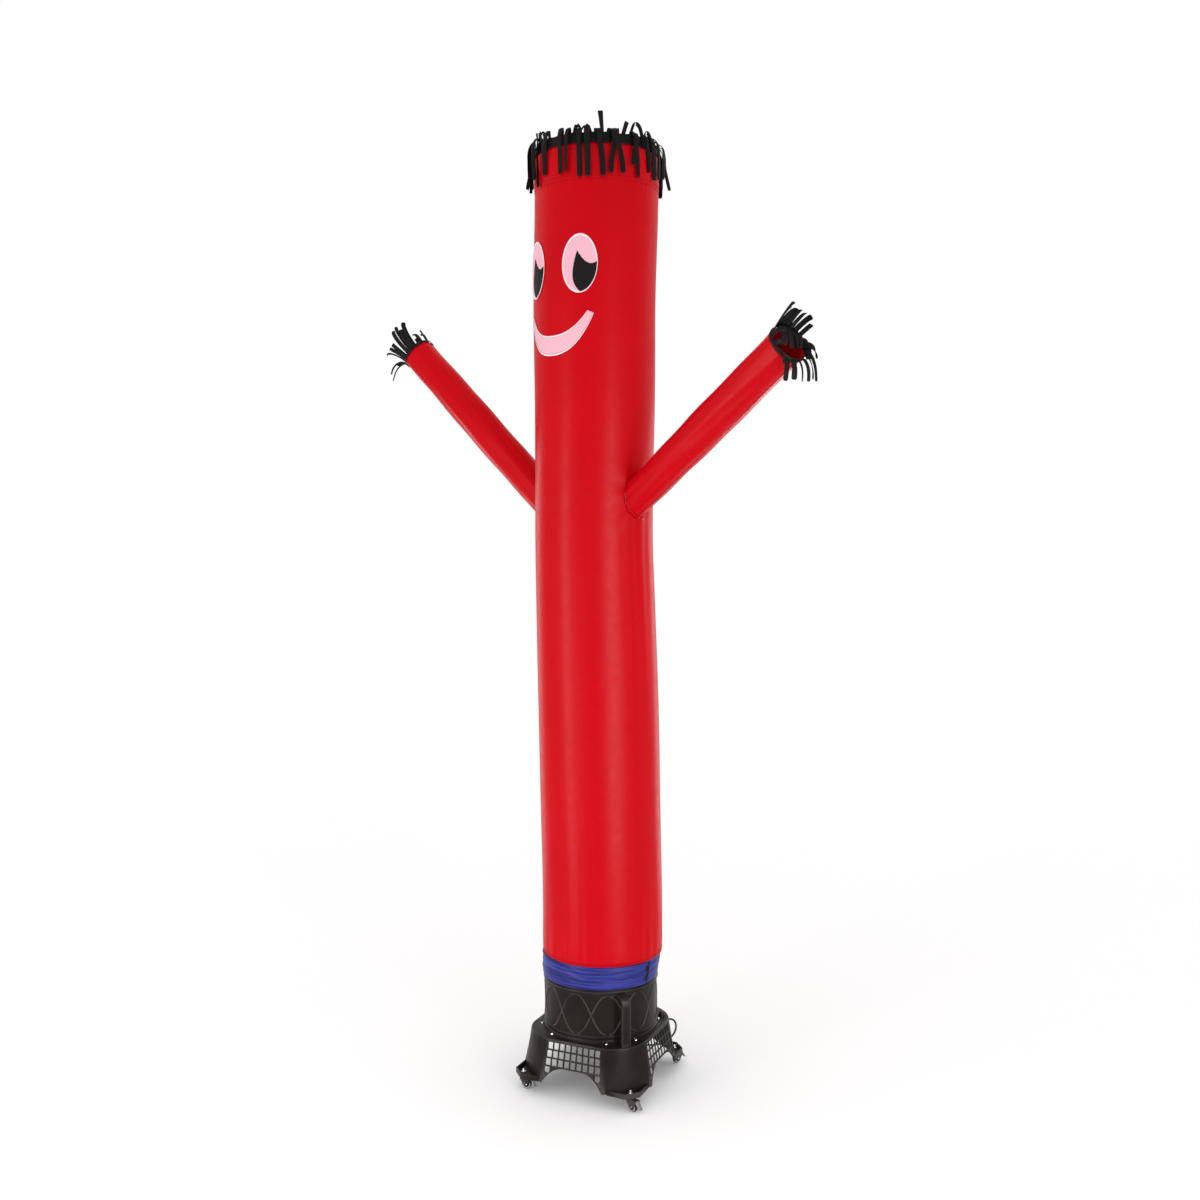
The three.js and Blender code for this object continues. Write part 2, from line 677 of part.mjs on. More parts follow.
function foot() {
  const outside = footVolume(0, FOOT.low, FOOT.top);
  const inside = footVolume(FOOT.wall, FOOT.low - 1, FOOT.top - FOOT.wall);
  const deepInside = footVolume(FOOT.wall, SHELF.low - 1, FOOT.top - FOOT.wall);
  let shell = outside.subtract(inside);
  for (const [signX, signY] of Object.values(CORNERS)) {
    shell = shell.add(shelf(signX, signY).subtract(deepInside));
  }
  const bore = DRUM.radius - DRUM.wall - 6;
  shell = shell.subtract(toSolid(turned([[0, 160], [bore, 160], [bore, 200], [0, 200]], 40)));
  for (const quarter of steps(4)) {
    shell = shell.subtract(throughFace(archOutline(), quarter));
    shell = shell.subtract(throughFace(windowOutline(0), quarter));
  }
  return shell;
}
add(blower, 'foot', toGeometry(foot()), 'plastic');

// Each grille fills its window and ends at the arch. Its columns spread with the face's flare, and
// the two outer ones have one more hole.
function grille(quarter) {
  const { columns, rows, pitchX, pitchY, holeX, holeY, top } = GRILLE;
  const inside = footVolume(FOOT.wall, FOOT.low - 1, FOOT.top + 1);
  let panel = footVolume(0, FOOT.low, FOOT.top).subtract(inside);
  panel = panel.intersect(throughFace(windowOutline(-GAP), 0)).subtract(throughFace(archOutline(), 0));
  for (const column of steps(columns)) {
    const x = (column - (columns - 1) / 2) * pitchX;
    const atEnd = column === 0 || column === columns - 1;
    for (const row of steps(atEnd ? rows + 1 : rows)) {
      const high = row === rows ? holeY - 2 : holeY;
      const z = top - high / 2 - row * pitchY;
      const spread = footSize(FACE_HALF, z) / FACE_HALF.high;
      panel = panel.subtract(toSolid(boxAt(holeX * spread, 160, high, x * spread, -200, z)));
    }
  }
  return toGeometry(panel).rotateZ((quarter * Math.PI) / 2);
}
for (const [quarter, side] of ['front', 'right', 'back', 'left'].entries()) {
  add(blower, `grille_${side}`, grille(quarter), 'plastic');
}

// ---- screws and switch -------------------------------------------------------------------------
function stud(radius, height, dome, sides = 12) {
  const crest = height + dome;
  return turned([[0, 0], [radius, 0], [radius, height], [radius * 0.6, crest], [0, crest]], sides);
}
for (const i of steps(8)) {
  const azimuth = 45 + 90 * Math.floor(i / 2) + (i % 2 ? SCREW.spread : -SCREW.spread);
  const screw = add(blower, `flange_screw_${i + 1}`, stud(SCREW.radius, 1, SCREW.dome, 10), 'steel');
  screw.position.copy(toward(azimuth, SCREW.ring, FOOT.top + GAP));
}
const switchSpot = toward(SWITCH.azimuth, SWITCH.ring, FOOT.top + GAP);
const housing = add(blower, 'switch_housing', stud(SWITCH.radius, SWITCH.high - 1, 1, 16), 'plastic');
housing.position.copy(switchSpot);
const knob = add(blower, 'switch_knob', stud(SWITCH.knobRadius * 0.8, SWITCH.knobHigh - 1, 1, 14), 'knob');
knob.position.copy(switchSpot).add(new THREE.Vector3(0, 0, SWITCH.high + GAP));

// ---- casters -----------------------------------------------------------------------------------
// In a caster's own group X is the way it trails, Y its axle's direction and Z is up.
const cheek = CASTER.wheelWidth / 2 + 1.2;
const forkSheet = 2.2;
const brakeHinge = { x: 25, z: 33.5 };

function forkCheek() {
  const outline = new THREE.Shape();
  outline.moveTo(1 - CASTER.neck, 38);
  outline.lineTo(1 - CASTER.neck, 33);
  outline.lineTo(5, 12);
  outline.lineTo(10, 9.5);
  outline.lineTo(16, 11);
  outline.lineTo(29, 30);
  outline.lineTo(29, 37);
  outline.lineTo(24, 38);
  outline.closePath();
  const hole = new THREE.Path();
  const clear = (CASTER.pin + GAP) / Math.cos(Math.PI / 8);
  hole.absarc(CASTER.trail, CASTER.wheelRadius, clear, 0, 2 * Math.PI, true);
  outline.holes.push(hole);
  const geometry = new THREE.ExtrudeGeometry(outline, {
    depth: forkSheet, bevelEnabled: false, curveSegments: 4,
  });
  return geometry.rotateX(Math.PI / 2);
}

function fork() {
  const crownTop = SHELF.low - GAP;
  const width = 2 * (cheek + forkSheet);
  const crown = turned([
    [0, 34], [CASTER.neck, 34], [CASTER.neck, 37], [CASTER.crown, crownTop - 1.5],
    [CASTER.crown, crownTop], [0, crownTop],
  ], 20);
  const plate = boxAt(28, width, 3.5, 4, 0, 35.75);
  return toGeometry(joined([
    crown,
    plate,
    forkCheek().translate(0, cheek + forkSheet, 0),
    forkCheek().translate(0, -cheek, 0),
  ]));
}

function wheel() {
  const half = CASTER.wheelWidth / 2;
  const outer = CASTER.wheelRadius / Math.cos(Math.PI / WHEEL_SIDES);
  const bore = CASTER.pin + GAP;
  const geometry = turned([
    [bore, -half], [outer - 1.5, -half], [outer, 1.5 - half], [outer, half - 1.5],
    [outer - 1.5, half], [bore, half], [bore, -half],
  ], WHEEL_SIDES);
  // Half a facet of turn sets one flat facet square on the floor.
  return geometry.rotateZ(Math.PI / WHEEL_SIDES).rotateX(Math.PI / 2);
}

function brakeLever() {
  const half = cheek - GAP;
  const outline = new THREE.Shape();
  outline.moveTo(-2.5, 0);
  outline.lineTo(-1.8, 1.8);
  outline.lineTo(0, 2.6);
  outline.lineTo(2.6, 1.6);
  outline.lineTo(10, -6);
  outline.lineTo(19, -20);
  outline.lineTo(17, -21);
  outline.lineTo(8, -8);
  outline.lineTo(0, -2.6);
  outline.closePath();
  const geometry = new THREE.ExtrudeGeometry(outline, { depth: 2 * half, bevelEnabled: false });
  return geometry.rotateX(Math.PI / 2).translate(brakeHinge.x, half, brakeHinge.z);
}

// Six-sided nut with the end of the caster's screw standing out of it.
function boltPiece() {
  const { nut, nutHigh, screw, screwHigh } = BOLT;
  const end = turned([
    [0, 0], [screw, 0], [screw, nutHigh + screwHigh - 1], [screw - 1, nutHigh + screwHigh],
    [0, nutHigh + screwHigh],
  ], 12);
  return toGeometry(joined([stud(nut, nutHigh, 1, 6), end]));
}

for (const [corner, [signX, signY]] of Object.entries(CORNERS)) {
  const caster = new THREE.Group();
  caster.position.set(signX * CASTER.reach, signY * CASTER.reach, 0);
  caster.rotation.z = rad(HEADINGS[corner] - 90);
  add(caster, `caster_${corner}_fork`, fork(), 'rubber');
  const rolling = add(caster, `caster_${corner}_wheel`, wheel(), 'tyre');
  rolling.position.set(CASTER.trail, 0, CASTER.wheelRadius);
  const axle = stud(CASTER.pin, 2 * (cheek + forkSheet), 0, 10);
  axle.translate(0, 0, -(cheek + forkSheet)).rotateX(Math.PI / 2);
  add(caster, `caster_${corner}_axle`, axle, 'steel').position.copy(rolling.position);
  add(caster, `caster_${corner}_brake`, brakeLever(), 'steel');
  const bolt = add(caster, `caster_${corner}_bolt`, boltPiece(), 'steel');
  bolt.position.z = SHELF.floor + GAP;
  blower.add(caster);
}

// ---- mains lead --------------------------------------------------------------------------------
function cordPiece(points, count) {
  const round = new THREE.Shape();
  round.absarc(0, 0, CORD.radius, 0, 2 * Math.PI, false);
  const path = new THREE.CatmullRomCurve3(points.map((point) => new THREE.Vector3(...point)));
  return new THREE.ExtrudeGeometry(round, {
    steps: count, extrudePath: path, curveSegments: CORD.sides / 2,
  });
}

function glandPiece() {
  const { turn, height, length, base, tip } = GLAND;
  const side = footSize(SIDE_REACH, height);
  const arc = cornerArc(footSize(FACE_HALF, height), side, footSize(CORNER_REACH, height));
  const azimuth = 135 + lerp(-arc.sweep, arc.sweep, turn);
  const wall = arc.radius * Math.cos(rad(arc.sweep / CORNER_STEPS));
  const spot = toward(135, arc.centre, height).add(toward(azimuth, wall + GAP));
  const slope = new THREE.Vector3(0, 0, 0.11);
  const axis = toward(azimuth).add(slope).normalize();
  const geometry = turned([[0, 0], [base, 0], [base, 3], [tip, length], [0, length]], 14);
  const place = new THREE.Matrix4().makeRotationFromQuaternion(
    new THREE.Quaternion().setFromUnitVectors(UP, axis));
  return geometry.applyMatrix4(place.setPosition(spot));
}
add(lead, 'cord_gland', glandPiece(), 'rubber');
add(lead, 'cord', cordPiece(CORD_ROUTE, CORD.steps), 'rubber');

const coil = turned([
  [COIL.middle - COIL.half, 3],
  [COIL.middle - COIL.half + 2, 0.3],
  [COIL.middle + COIL.half - 2, 0.3],
  [COIL.middle + COIL.half, 3],
  [COIL.middle + COIL.half, COIL.high - 3],
  [COIL.middle + COIL.half - 2, COIL.high],
  [COIL.middle - COIL.half + 2, COIL.high],
  [COIL.middle - COIL.half, COIL.high - 3],
  [COIL.middle - COIL.half, 3],
], 20);
add(lead, 'cord_coil', coil.translate(COIL.x, COIL.y, 0), 'rubber');

// The tail leaves the top of the coil along a tangent, clear of the coil's round side.
const turnReach = COIL.middle + COIL.half - CORD.radius;
const clearance = Math.sqrt((COIL.middle + COIL.half) ** 2 - (turnReach - CORD.radius) ** 2) + GAP;
const tailStart = new THREE.Vector3(COIL.x - clearance, COIL.y - turnReach, TAIL.height);
const tailEnd = tailStart.clone().add(new THREE.Vector3(-TAIL.length, 0, 0));
const tailLine = [tailStart, tailStart.clone().lerp(tailEnd, 0.5), tailEnd].map((point) => point.toArray());
add(lead, 'cord_tail', cordPiece(tailLine, 4), 'rubber');

function plug() {
  const { body: length, width, high, blade, bladeHigh, bladeThick, pitch } = PLUG;
  const station = (along, scale) => {
    const [w, h, cut] = [(width / 2) * scale, (high / 2) * scale, 4 * scale];
    return [
      [w, h - cut], [w - cut, h], [cut - w, h], [-w, h - cut],
      [-w, cut - h], [cut - w, -h], [w - cut, -h], [w, cut - h],
    ].map(([across, height]) => new THREE.Vector3(-along, -across, height));
  };
  const shape = skin([station(0, 0.5), station(14, 0.72), station(24, 1), station(length, 1)]);
  const blades = [-pitch / 2, pitch / 2].map((offset) =>
    boxAt(blade + 3, bladeThick, bladeHigh, -length - blade / 2 + 1.5, offset, 0));
  return toGeometry(joined([shape, ...blades]));
}
const plugPiece = add(lead, 'cord_plug', plug(), 'rubber');
plugPiece.position.copy(tailEnd).add(new THREE.Vector3(-GAP, 0, 0));

// ---- placing -----------------------------------------------------------------------------------
// The origin is on the floor under the middle of the whole object, measured without its lead.
const airDancer = new THREE.Group();
airDancer.add(dancer, blower);
airDancer.updateMatrixWorld(true);
const bounds = new THREE.Box3().setFromObject(airDancer, true);
const middle = bounds.getCenter(new THREE.Vector3());
airDancer.add(lead);
airDancer.position.set(-middle.x, -middle.y, 0);
airDancer.updateMatrixWorld(true);

export default airDancer;
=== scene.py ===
"""Inflatable air dancer on its fan blower: the finished look. Metres, in the model's own frame.

An azimuth is in degrees round +Z from the blower's axis: 0 is -Y, out of the front grille, and 90
is +X. The order is: sizes, camera and lead, mesh helpers, finishes, cloth, blower, casters, the
lead's fittings, studio.
"""

import math

import bmesh
import bpy
import numpy as np
from mathutils import Matrix, Vector


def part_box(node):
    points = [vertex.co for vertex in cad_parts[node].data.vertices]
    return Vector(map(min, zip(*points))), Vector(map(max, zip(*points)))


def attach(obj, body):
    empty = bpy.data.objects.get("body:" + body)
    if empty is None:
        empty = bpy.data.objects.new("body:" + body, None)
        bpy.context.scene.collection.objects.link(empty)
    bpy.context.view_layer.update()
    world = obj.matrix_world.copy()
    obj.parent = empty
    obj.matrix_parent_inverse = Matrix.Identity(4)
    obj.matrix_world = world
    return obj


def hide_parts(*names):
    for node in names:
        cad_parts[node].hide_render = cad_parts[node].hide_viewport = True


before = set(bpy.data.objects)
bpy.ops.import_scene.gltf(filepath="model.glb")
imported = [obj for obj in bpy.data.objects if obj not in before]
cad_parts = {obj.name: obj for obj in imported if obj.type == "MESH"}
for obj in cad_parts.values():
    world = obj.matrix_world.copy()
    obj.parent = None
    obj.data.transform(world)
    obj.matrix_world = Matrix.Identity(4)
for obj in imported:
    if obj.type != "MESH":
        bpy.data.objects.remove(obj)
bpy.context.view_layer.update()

BODY_NAME = "dancer_and_blower"
low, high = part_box("drum")
# The blower's axis, at the height of the floor.
AXIS = np.array([(low.x + high.x) / 2, (low.y + high.y) / 2, 0.0])

# ---- sizes that the model's source also holds ----
GAP = 0.0003  # air between two pieces
CLOTH = 0.0012
FACE_AZIMUTH = -17.0
SWAY_AZIMUTH = 114.7
HEIGHT, SWAY, RADIUS = range(3)  # the columns of the next two tables
BODY_ROWS = [
    (0.427, 0.006, 0.192), (0.586, 0.005, 0.193), (0.913, -0.003, 0.1937),
    (1.238, -0.0094, 0.1928), (1.559, -0.0174, 0.1903), (1.751, -0.022, 0.1883),
    (1.878, -0.022, 0.188), (2.193, -0.0188, 0.19), (2.506, -0.0187, 0.1923),
    (2.815, -0.0124, 0.1943), (2.920, -0.012, 0.1938), (2.944, -0.012, 0.191),
]
COLLAR_ROWS = [
    (0.352, 0.0, 0.1845), (0.364, 0.0004, 0.1854), (0.390, 0.0026, 0.1878), (0.437, 0.006, 0.1902),
]
ARMS = {
    "right": {"root_swing": 88, "swing": 79, "rise": 32, "height": 1.885, "length": 0.744},
    "left": {"root_swing": -88, "swing": -79, "rise": 44, "height": 1.871, "length": 0.748},
}
SLEEVE_RADIUS = [(0.0, 0.054), (0.6, 0.057), (1.0, 0.0555)]
STRIP_WIDTH = 0.015
HAIR = {"below": 0.005, "above": 0.026}
STANDING = [  # strips that stick up: azimuth, rise above the tube's top, lean, widths of the ends
    (30, 0.086, -0.008, (0.55, 1.15)), (48, 0.060, 0.014, (0.8, 1.05)),
    (140, 0.066, 0.008, (0.9, 1.0)), (220, 0.058, -0.006, (0.9, 1.0)),
    (310, 0.060, 0.012, (0.7, 0.8)),
]
HANGING = [  # azimuth, height of its bend, drop, sideways lean, width, twist, reach out
    (-75, 0.030, 0.082, -0.012, 0.013, 1.0, 0.022),
    (-61, 0.044, 0.088, 0.010, 0.012, 1.2, 0.022),
    (-51, 0.046, 0.082, 0.016, 0.013, -1.3, 0.014),
    (-40, 0.040, 0.110, 0.002, 0.012, 1.3, 0.011),
    (-31, 0.034, 0.083, 0.004, 0.0145, 0.5, 0.011),
    (-24, 0.046, 0.086, -0.009, 0.014, -0.6, 0.014),
    (-9, 0.044, 0.093, 0.002, 0.0165, 0.2, 0.012),
    (-1, 0.040, 0.090, -0.005, 0.0150, 0.6, 0.016),
    (9, 0.036, 0.108, 0.003, 0.0155, -0.5, 0.012),
    (16, 0.042, 0.107, 0.004, 0.0190, 0.1, 0.016),
    (24, 0.034, 0.105, 0.021, 0.0165, 0.2, 0.011),
    (35, 0.034, 0.097, 0.042, 0.0160, 0.2, 0.018),
    (43, 0.036, 0.096, -0.022, 0.0170, -0.3, 0.012),
    (57, 0.034, 0.100, 0.020, 0.0150, -0.2, 0.012),
    (61, 0.030, 0.068, -0.016, 0.0145, 0.5, 0.019),
    (70, 0.032, 0.078, 0.019, 0.0130, 1.1, 0.012),
    (79, 0.034, 0.094, 0.018, 0.0175, 0.2, 0.013),
    (86, 0.032, 0.088, 0.016, 0.0170, -0.3, 0.019),
    (92, 0.030, 0.084, 0.012, 0.0170, 0.3, 0.012),
    (99, 0.028, 0.076, 0.014, 0.0160, 0.2, 0.022),
]
SPLAYED = [  # strips that stand off at the sides: azimuth, then out, up and aside of each place
    (108, [(0, 0.012, 0), (0.014, 0.026, 0), (0.022, 0.000, 0), (0.024, -0.040, 0),
           (0.038, -0.104, 0.004)]),
    (-69, [(0, 0.012, 0), (0.016, 0.038, 0), (0.026, 0.010, 0), (0.020, -0.036, 0),
           (0.030, -0.092, 0.004)]),
    (-64, [(0, 0.012, 0), (0.012, 0.042, 0), (0.020, 0.014, 0), (0.012, -0.030, 0),
           (0.018, -0.106, -0.006)]),
]
LOOPS = [  # strips that rise, bend over sideways and tuck in again: azimuth, rise, span
    (-44, 0.052, 0.034), (-30, 0.048, -0.024), (3, 0.046, 0.026), (20, 0.044, -0.030),
    (56, 0.060, 0.036), (72, 0.044, 0.024),
]
HAND = {"behind": 0.003, "beyond": 0.008}
HAND_STRIPS = {  # turn round the wrist, reach along the arm, rise, sideways, width, twist
    "right": [
        (45, 0.076, 0.022, -0.018, 0.0130, 0.4), (60, 0.070, 0.006, -0.006, 0.0140, -0.4),
        (78, 0.066, 0.000, -0.008, 0.0180, 0.2), (92, 0.068, -0.002, -0.002, 0.0190, -0.2),
        (106, 0.068, -0.002, 0.002, 0.0170, 0.3), (120, 0.068, -0.005, 0.000, 0.0130, 0.6),
        (134, 0.074, -0.012, -0.004, 0.0150, -0.5), (152, 0.052, -0.004, -0.002, 0.0130, 0.4),
        (66, 0.034, -0.060, -0.010, 0.0170, 0.3), (94, 0.042, -0.088, -0.002, 0.0160, 0.4),
        (84, 0.036, -0.066, -0.004, 0.0180, -0.3), (104, 0.034, -0.078, 0.004, 0.0170, 0.2),
        (122, 0.030, -0.072, -0.006, 0.0170, 0.5), (140, 0.028, -0.060, 0.002, 0.0160, -0.3),
        (166, 0.024, -0.066, -0.004, 0.0170, 0.2), (182, 0.032, -0.054, -0.018, 0.0180, 0.1),
        (204, 0.030, -0.096, -0.010, 0.0120, 0.7), (222, 0.024, -0.076, -0.004, 0.0110, -0.6),
        (242, 0.020, -0.070, 0.000, 0.0110, 0.5), (262, 0.014, -0.063, 0.002, 0.0110, -0.5),
        (284, 0.010, -0.058, 0.006, 0.0150, 0.6), (303, 0.008, -0.068, 0.014, 0.0130, 0.3),
        (318, 0.012, -0.034, 0.002, 0.0140, -0.6), (350, 0.034, -0.020, -0.016, 0.0150, 0.4),
        (20, 0.044, -0.014, -0.020, 0.0150, 0.2),
    ],
    "left": [
        (150, 0.066, 0.032, 0.004, 0.0155, 0.2), (160, 0.060, 0.018, 0.000, 0.0165, 0.3),
        (170, 0.076, 0.024, -0.002, 0.0120, 0.9), (184, 0.078, 0.020, -0.002, 0.0145, 0.3),
        (120, 0.046, -0.014, 0.004, 0.0150, 0.3), (92, 0.038, -0.012, 0.006, 0.0160, 0.2),
        (202, 0.070, -0.006, -0.002, 0.0150, 0.3), (216, 0.076, -0.018, -0.002, 0.0140, 0.5),
        (230, 0.084, -0.034, -0.018, 0.0090, 0.2), (241, 0.052, -0.074, -0.028, 0.0095, 0.1),
        (252, 0.046, -0.088, -0.030, 0.0095, -0.2), (276, 0.060, -0.040, -0.010, 0.0150, 0.6),
        (302, 0.076, -0.020, 0.000, 0.0160, 0.3), (330, 0.082, -0.006, 0.002, 0.0165, 0.2),
        (0, 0.082, 0.006, 0.000, 0.0170, 0.2), (30, 0.078, 0.012, 0.000, 0.0150, -0.3),
    ],
}
EYE = {"across": 27.5, "height": 2.584, "half_width": 0.055, "half_height": 0.088}
MOUTH = {"height": 2.436, "half_width": 0.126, "sag": 0.118, "thickness": 0.056}
LAP = {"from": -100, "to": 74, "low": 0.353, "high": 0.424, "lift": 0.0042}
HOOK = {"from": 66, "to": 76.5, "low": 0.356, "high": 0.421, "thick": 0.001}


def rad(degrees):
    return np.radians(degrees)


def toward(azimuth, reach=1.0, height=0.0):
    """Point or points at an azimuth in degrees, a distance out and a height, from the axis."""
    azimuth, reach, height = np.broadcast_arrays(rad(azimuth), reach, height)
    return np.stack([np.sin(azimuth) * reach, -np.cos(azimuth) * reach, height * 1.0], axis=-1)


def smooth(low, high, value):
    """Share from 0 to 1 of the way from low to high, with a soft start and end."""
    t = np.clip((value - low) / (high - low), 0, 1)
    return t * t * (3 - 2 * t)


def link(name, data):
    """New object in the scene from a mesh, a curve, a light or a camera."""
    piece = bpy.data.objects.new(name, data)
    bpy.context.scene.collection.objects.link(piece)
    return piece


def look_along(piece, direction):
    """Points a camera or a light along a direction."""
    piece.rotation_euler = direction.to_track_quat("-Z", "Y").to_euler()


def moved(spot):
    return Matrix.Translation(Vector(spot))


def spun(degrees):
    """Turn about +Z."""
    return Matrix.Rotation(math.radians(degrees), 4, "Z")


# ---- camera ----
CAMERA = {"azimuth": 24.66, "distance": 4.0123, "aside": -0.0025, "height": 1.7995, "pitch": 3.4344,
          "sensor": 36, "lens": 37.667}


def place_camera():
    view, pitch = math.radians(CAMERA["azimuth"]), math.radians(CAMERA["pitch"])
    back = Vector((math.sin(view), -math.cos(view), 0))
    right = Vector((math.cos(view), math.sin(view), 0))
    data = bpy.data.cameras.new("camera")
    data.sensor_width, data.lens = CAMERA["sensor"], CAMERA["lens"]
    camera = link("camera", data)
    camera.location = Vector(AXIS) + back * CAMERA["distance"] + right * CAMERA["aside"]
    camera.location.z = CAMERA["height"]
    look_along(camera, -back * math.cos(pitch) - Vector((0, 0, math.sin(pitch))))
    bpy.context.scene.camera = camera


place_camera()

# ---- mains lead ----
CORD_RADIUS = 0.00325
CORD_ROUTE = [  # from the strain relief's tip, over and down to the floor, then along it
    (0.1496, 0.2139, 0.1329), (0.1570, 0.2256, 0.1314), (0.1635, 0.2359, 0.1246),
    (0.1673, 0.2427, 0.1131), (0.1677, 0.2466, 0.0996), (0.1647, 0.2493, 0.0862),
    (0.1589, 0.2516, 0.0736), (0.1512, 0.2538, 0.0620), (0.1422, 0.2560, 0.0514),
    (0.1321, 0.2581, 0.0418), (0.1211, 0.2601, 0.0333), (0.1093, 0.2621, 0.0257),
    (0.0970, 0.2640, 0.0193), (0.0841, 0.2658, 0.0140), (0.0707, 0.2675, 0.0099),
    (0.0570, 0.2690, 0.0071), (0.0431, 0.2702, 0.0052), (0.0291, 0.2711, 0.0042),
    (0.0150, 0.2716, 0.0038), (0.0009, 0.2720, 0.0036), (-0.0132, 0.2722, 0.0036),
    (-0.0272, 0.2723, 0.0036), (-0.0413, 0.2723, 0.0036), (-0.0554, 0.2723, 0.0036),
]
COIL = {"x": -0.079, "y": 0.316, "turns": (0.0437, 0.0370, 0.0303), "low": 0.0036, "high": 0.0104}
TAIL_END = (-0.1252, 0.27205, 0.0104)


def coil_points():
    """Three turns inwards on the floor, a climb, then outwards on top of them. The last 60 degrees
    of each turn move it over by one diameter."""
    outer, mid, inner = COIL["turns"]
    low_z, high_z = COIL["low"], COIL["high"]
    stages = [  # turned so far in degrees, radius, height
        (0, outer, low_z), (300, outer, low_z), (360, mid, low_z), (660, mid, low_z),
        (720, inner, low_z), (960, inner, low_z), (1020, inner, high_z), (1260, inner, high_z),
        (1320, mid, high_z), (1620, mid, high_z), (1680, outer, high_z), (1800, outer, high_z),
    ]
    stops, radii, heights = (np.array(column) for column in zip(*stages))
    points = []
    for angle in np.arange(0, 1801, 12):
        stage = max(1, int(np.searchsorted(stops, angle)))
        t = smooth(stops[stage - 1], stops[stage], angle)
        radius = radii[stage - 1] + (radii[stage] - radii[stage - 1]) * t
        height = heights[stage - 1] + (heights[stage] - heights[stage - 1]) * t
        turn = math.radians(angle)
        points.append((COIL["x"] - radius * math.sin(turn), COIL["y"] - radius * math.cos(turn),
                       height))
    return points


def curve_through(points, samples):
    """Points on a smooth curve through the given ones."""
    p = np.array(points, float)
    p = np.vstack([2 * p[0] - p[1], p, 2 * p[-1] - p[-2]])
    out = []
    for a, b, c, d in zip(p[:-3], p[1:-2], p[2:-1], p[3:]):
        for t in np.arange(samples) / samples:
            out.append(0.5 * (2 * b + (c - a) * t + (2 * a - 5 * b + 4 * c - d) * t * t
                              + (3 * b - a - 3 * c + d) * t ** 3))
    out.append(p[-2])
    return np.array(out)


def lines_data(name, lines):
    """Curve data with one open line for each list of points."""
    data = bpy.data.curves.new(name, "CURVE")
    data.dimensions = "3D"
    for line in lines:
        spline = data.splines.new("POLY")
        spline.points.add(len(line) - 1)
        spline.points.foreach_set("co", np.hstack([line, np.ones((len(line), 1))]).ravel())
    return data


def curve_object(name, points, radius):
    """Round tube along one open line of points."""
    data = lines_data(name, [points])
    data.bevel_depth, data.bevel_resolution, data.use_fill_caps = radius, 3, True
    return link(name, data)


lead_route = curve_through(CORD_ROUTE, 6)
lead_coil = np.array(coil_points())
lead_tail = np.linspace(lead_coil[-1], TAIL_END, 5)[1:]
lead_points = np.vstack([lead_route, lead_coil, lead_tail]) + AXIS
lead = curve_object("mains_lead", lead_points, CORD_RADIUS)

# ---- mesh helpers ----
SAME_SPOT = 1e-6  # points closer than this are one


class Editing:
    """Opens a mesh as a bmesh, or starts an empty one, and fills the mesh when the block ends."""

    def __init__(self, mesh, empty=False):
        self.mesh, self.bm = mesh, bmesh.new()
        if not empty:
            self.bm.from_mesh(mesh)

    def __enter__(self):
        return self.bm

    def __exit__(self, *problem):
        self.bm.to_mesh(self.mesh)
        self.bm.free()


def mesh_object(name, points, faces, uv=None, smooth=True):
    """Mesh from points and faces; uv gives one pair of numbers for each face corner, in order."""
    mesh = bpy.data.meshes.new(name)
    mesh.from_pydata([tuple(p) for p in points], [], [tuple(int(i) for i in f) for f in faces])
    if uv is not None:
        layer = mesh.uv_layers.new(name="cloth")
        layer.data.foreach_set("uv", np.asarray(uv, np.float32).ravel())
    mesh.update()
    piece = link(name, mesh)
    if smooth:
        mesh.shade_smooth()
    return piece


def grid_faces(rows, columns, around=False):
    """Quads of a grid of points in rows; around joins the last column to the first."""
    faces = []
    for row in range(rows - 1):
        for column in range(columns if around else columns - 1):
            after = (column + 1) % columns
            faces.append((row * columns + column, row * columns + after,
                          (row + 1) * columns + after, (row + 1) * columns + column))
    return np.array(faces)


def grid_object(name, points, along, across, around=False):
    """Sheet from a grid of points, with its flat places in metres: along for each row, and across
    for each column, with one more entry where the last column joins the first."""
    rows, columns = points.shape[:2]
    uv = []
    for low, high in zip(along[:-1], along[1:]):
        for left, right in zip(across[:-1], across[1:]):
            uv += [(left, low), (right, low), (right, high), (left, high)]
    return mesh_object(name, points.reshape(-1, 3), grid_faces(rows, columns, around), uv)


def add_thickness(piece, thickness, offset=-1.0):
    """Gives a sheet its thickness behind its outer face."""
    solidify = piece.modifiers.new("thickness", "SOLIDIFY")
    solidify.thickness = thickness
    solidify.offset = offset
    solidify.use_even_offset = False


def soften(piece, width, segments=2, angle=32):
    """Rounds the sharp edges of a moulded or turned piece."""
    bevel = piece.modifiers.new("edges", "BEVEL")
    bevel.width = width
    bevel.segments = segments
    bevel.limit_method = "ANGLE"
    bevel.angle_limit = math.radians(angle)
    return piece


def bake(piece):
    """Turns a piece with its modifiers into one plain mesh."""
    bpy.context.view_layer.update()
    graph = bpy.context.evaluated_depsgraph_get()
    mesh = bpy.data.meshes.new_from_object(piece.evaluated_get(graph))
    old = piece.data
    if piece.type == "MESH":
        piece.modifiers.clear()
        piece.data = mesh
        mesh.name = piece.name
    else:
        name = piece.name
        bpy.data.objects.remove(piece)
        piece = link(name, mesh)
    if old.users == 0 and isinstance(old, bpy.types.Mesh):
        bpy.data.meshes.remove(old)
    return piece


def shade_by_angle(piece, degrees=35):
    """Smooth shading, apart from the edges that bend by more than an angle."""
    piece.data.shade_smooth()
    with Editing(piece.data) as bm:
        for edge in bm.edges:
            if len(edge.link_faces) == 2 and edge.calc_face_angle(0) > math.radians(degrees):
                edge.smooth = False
    return piece


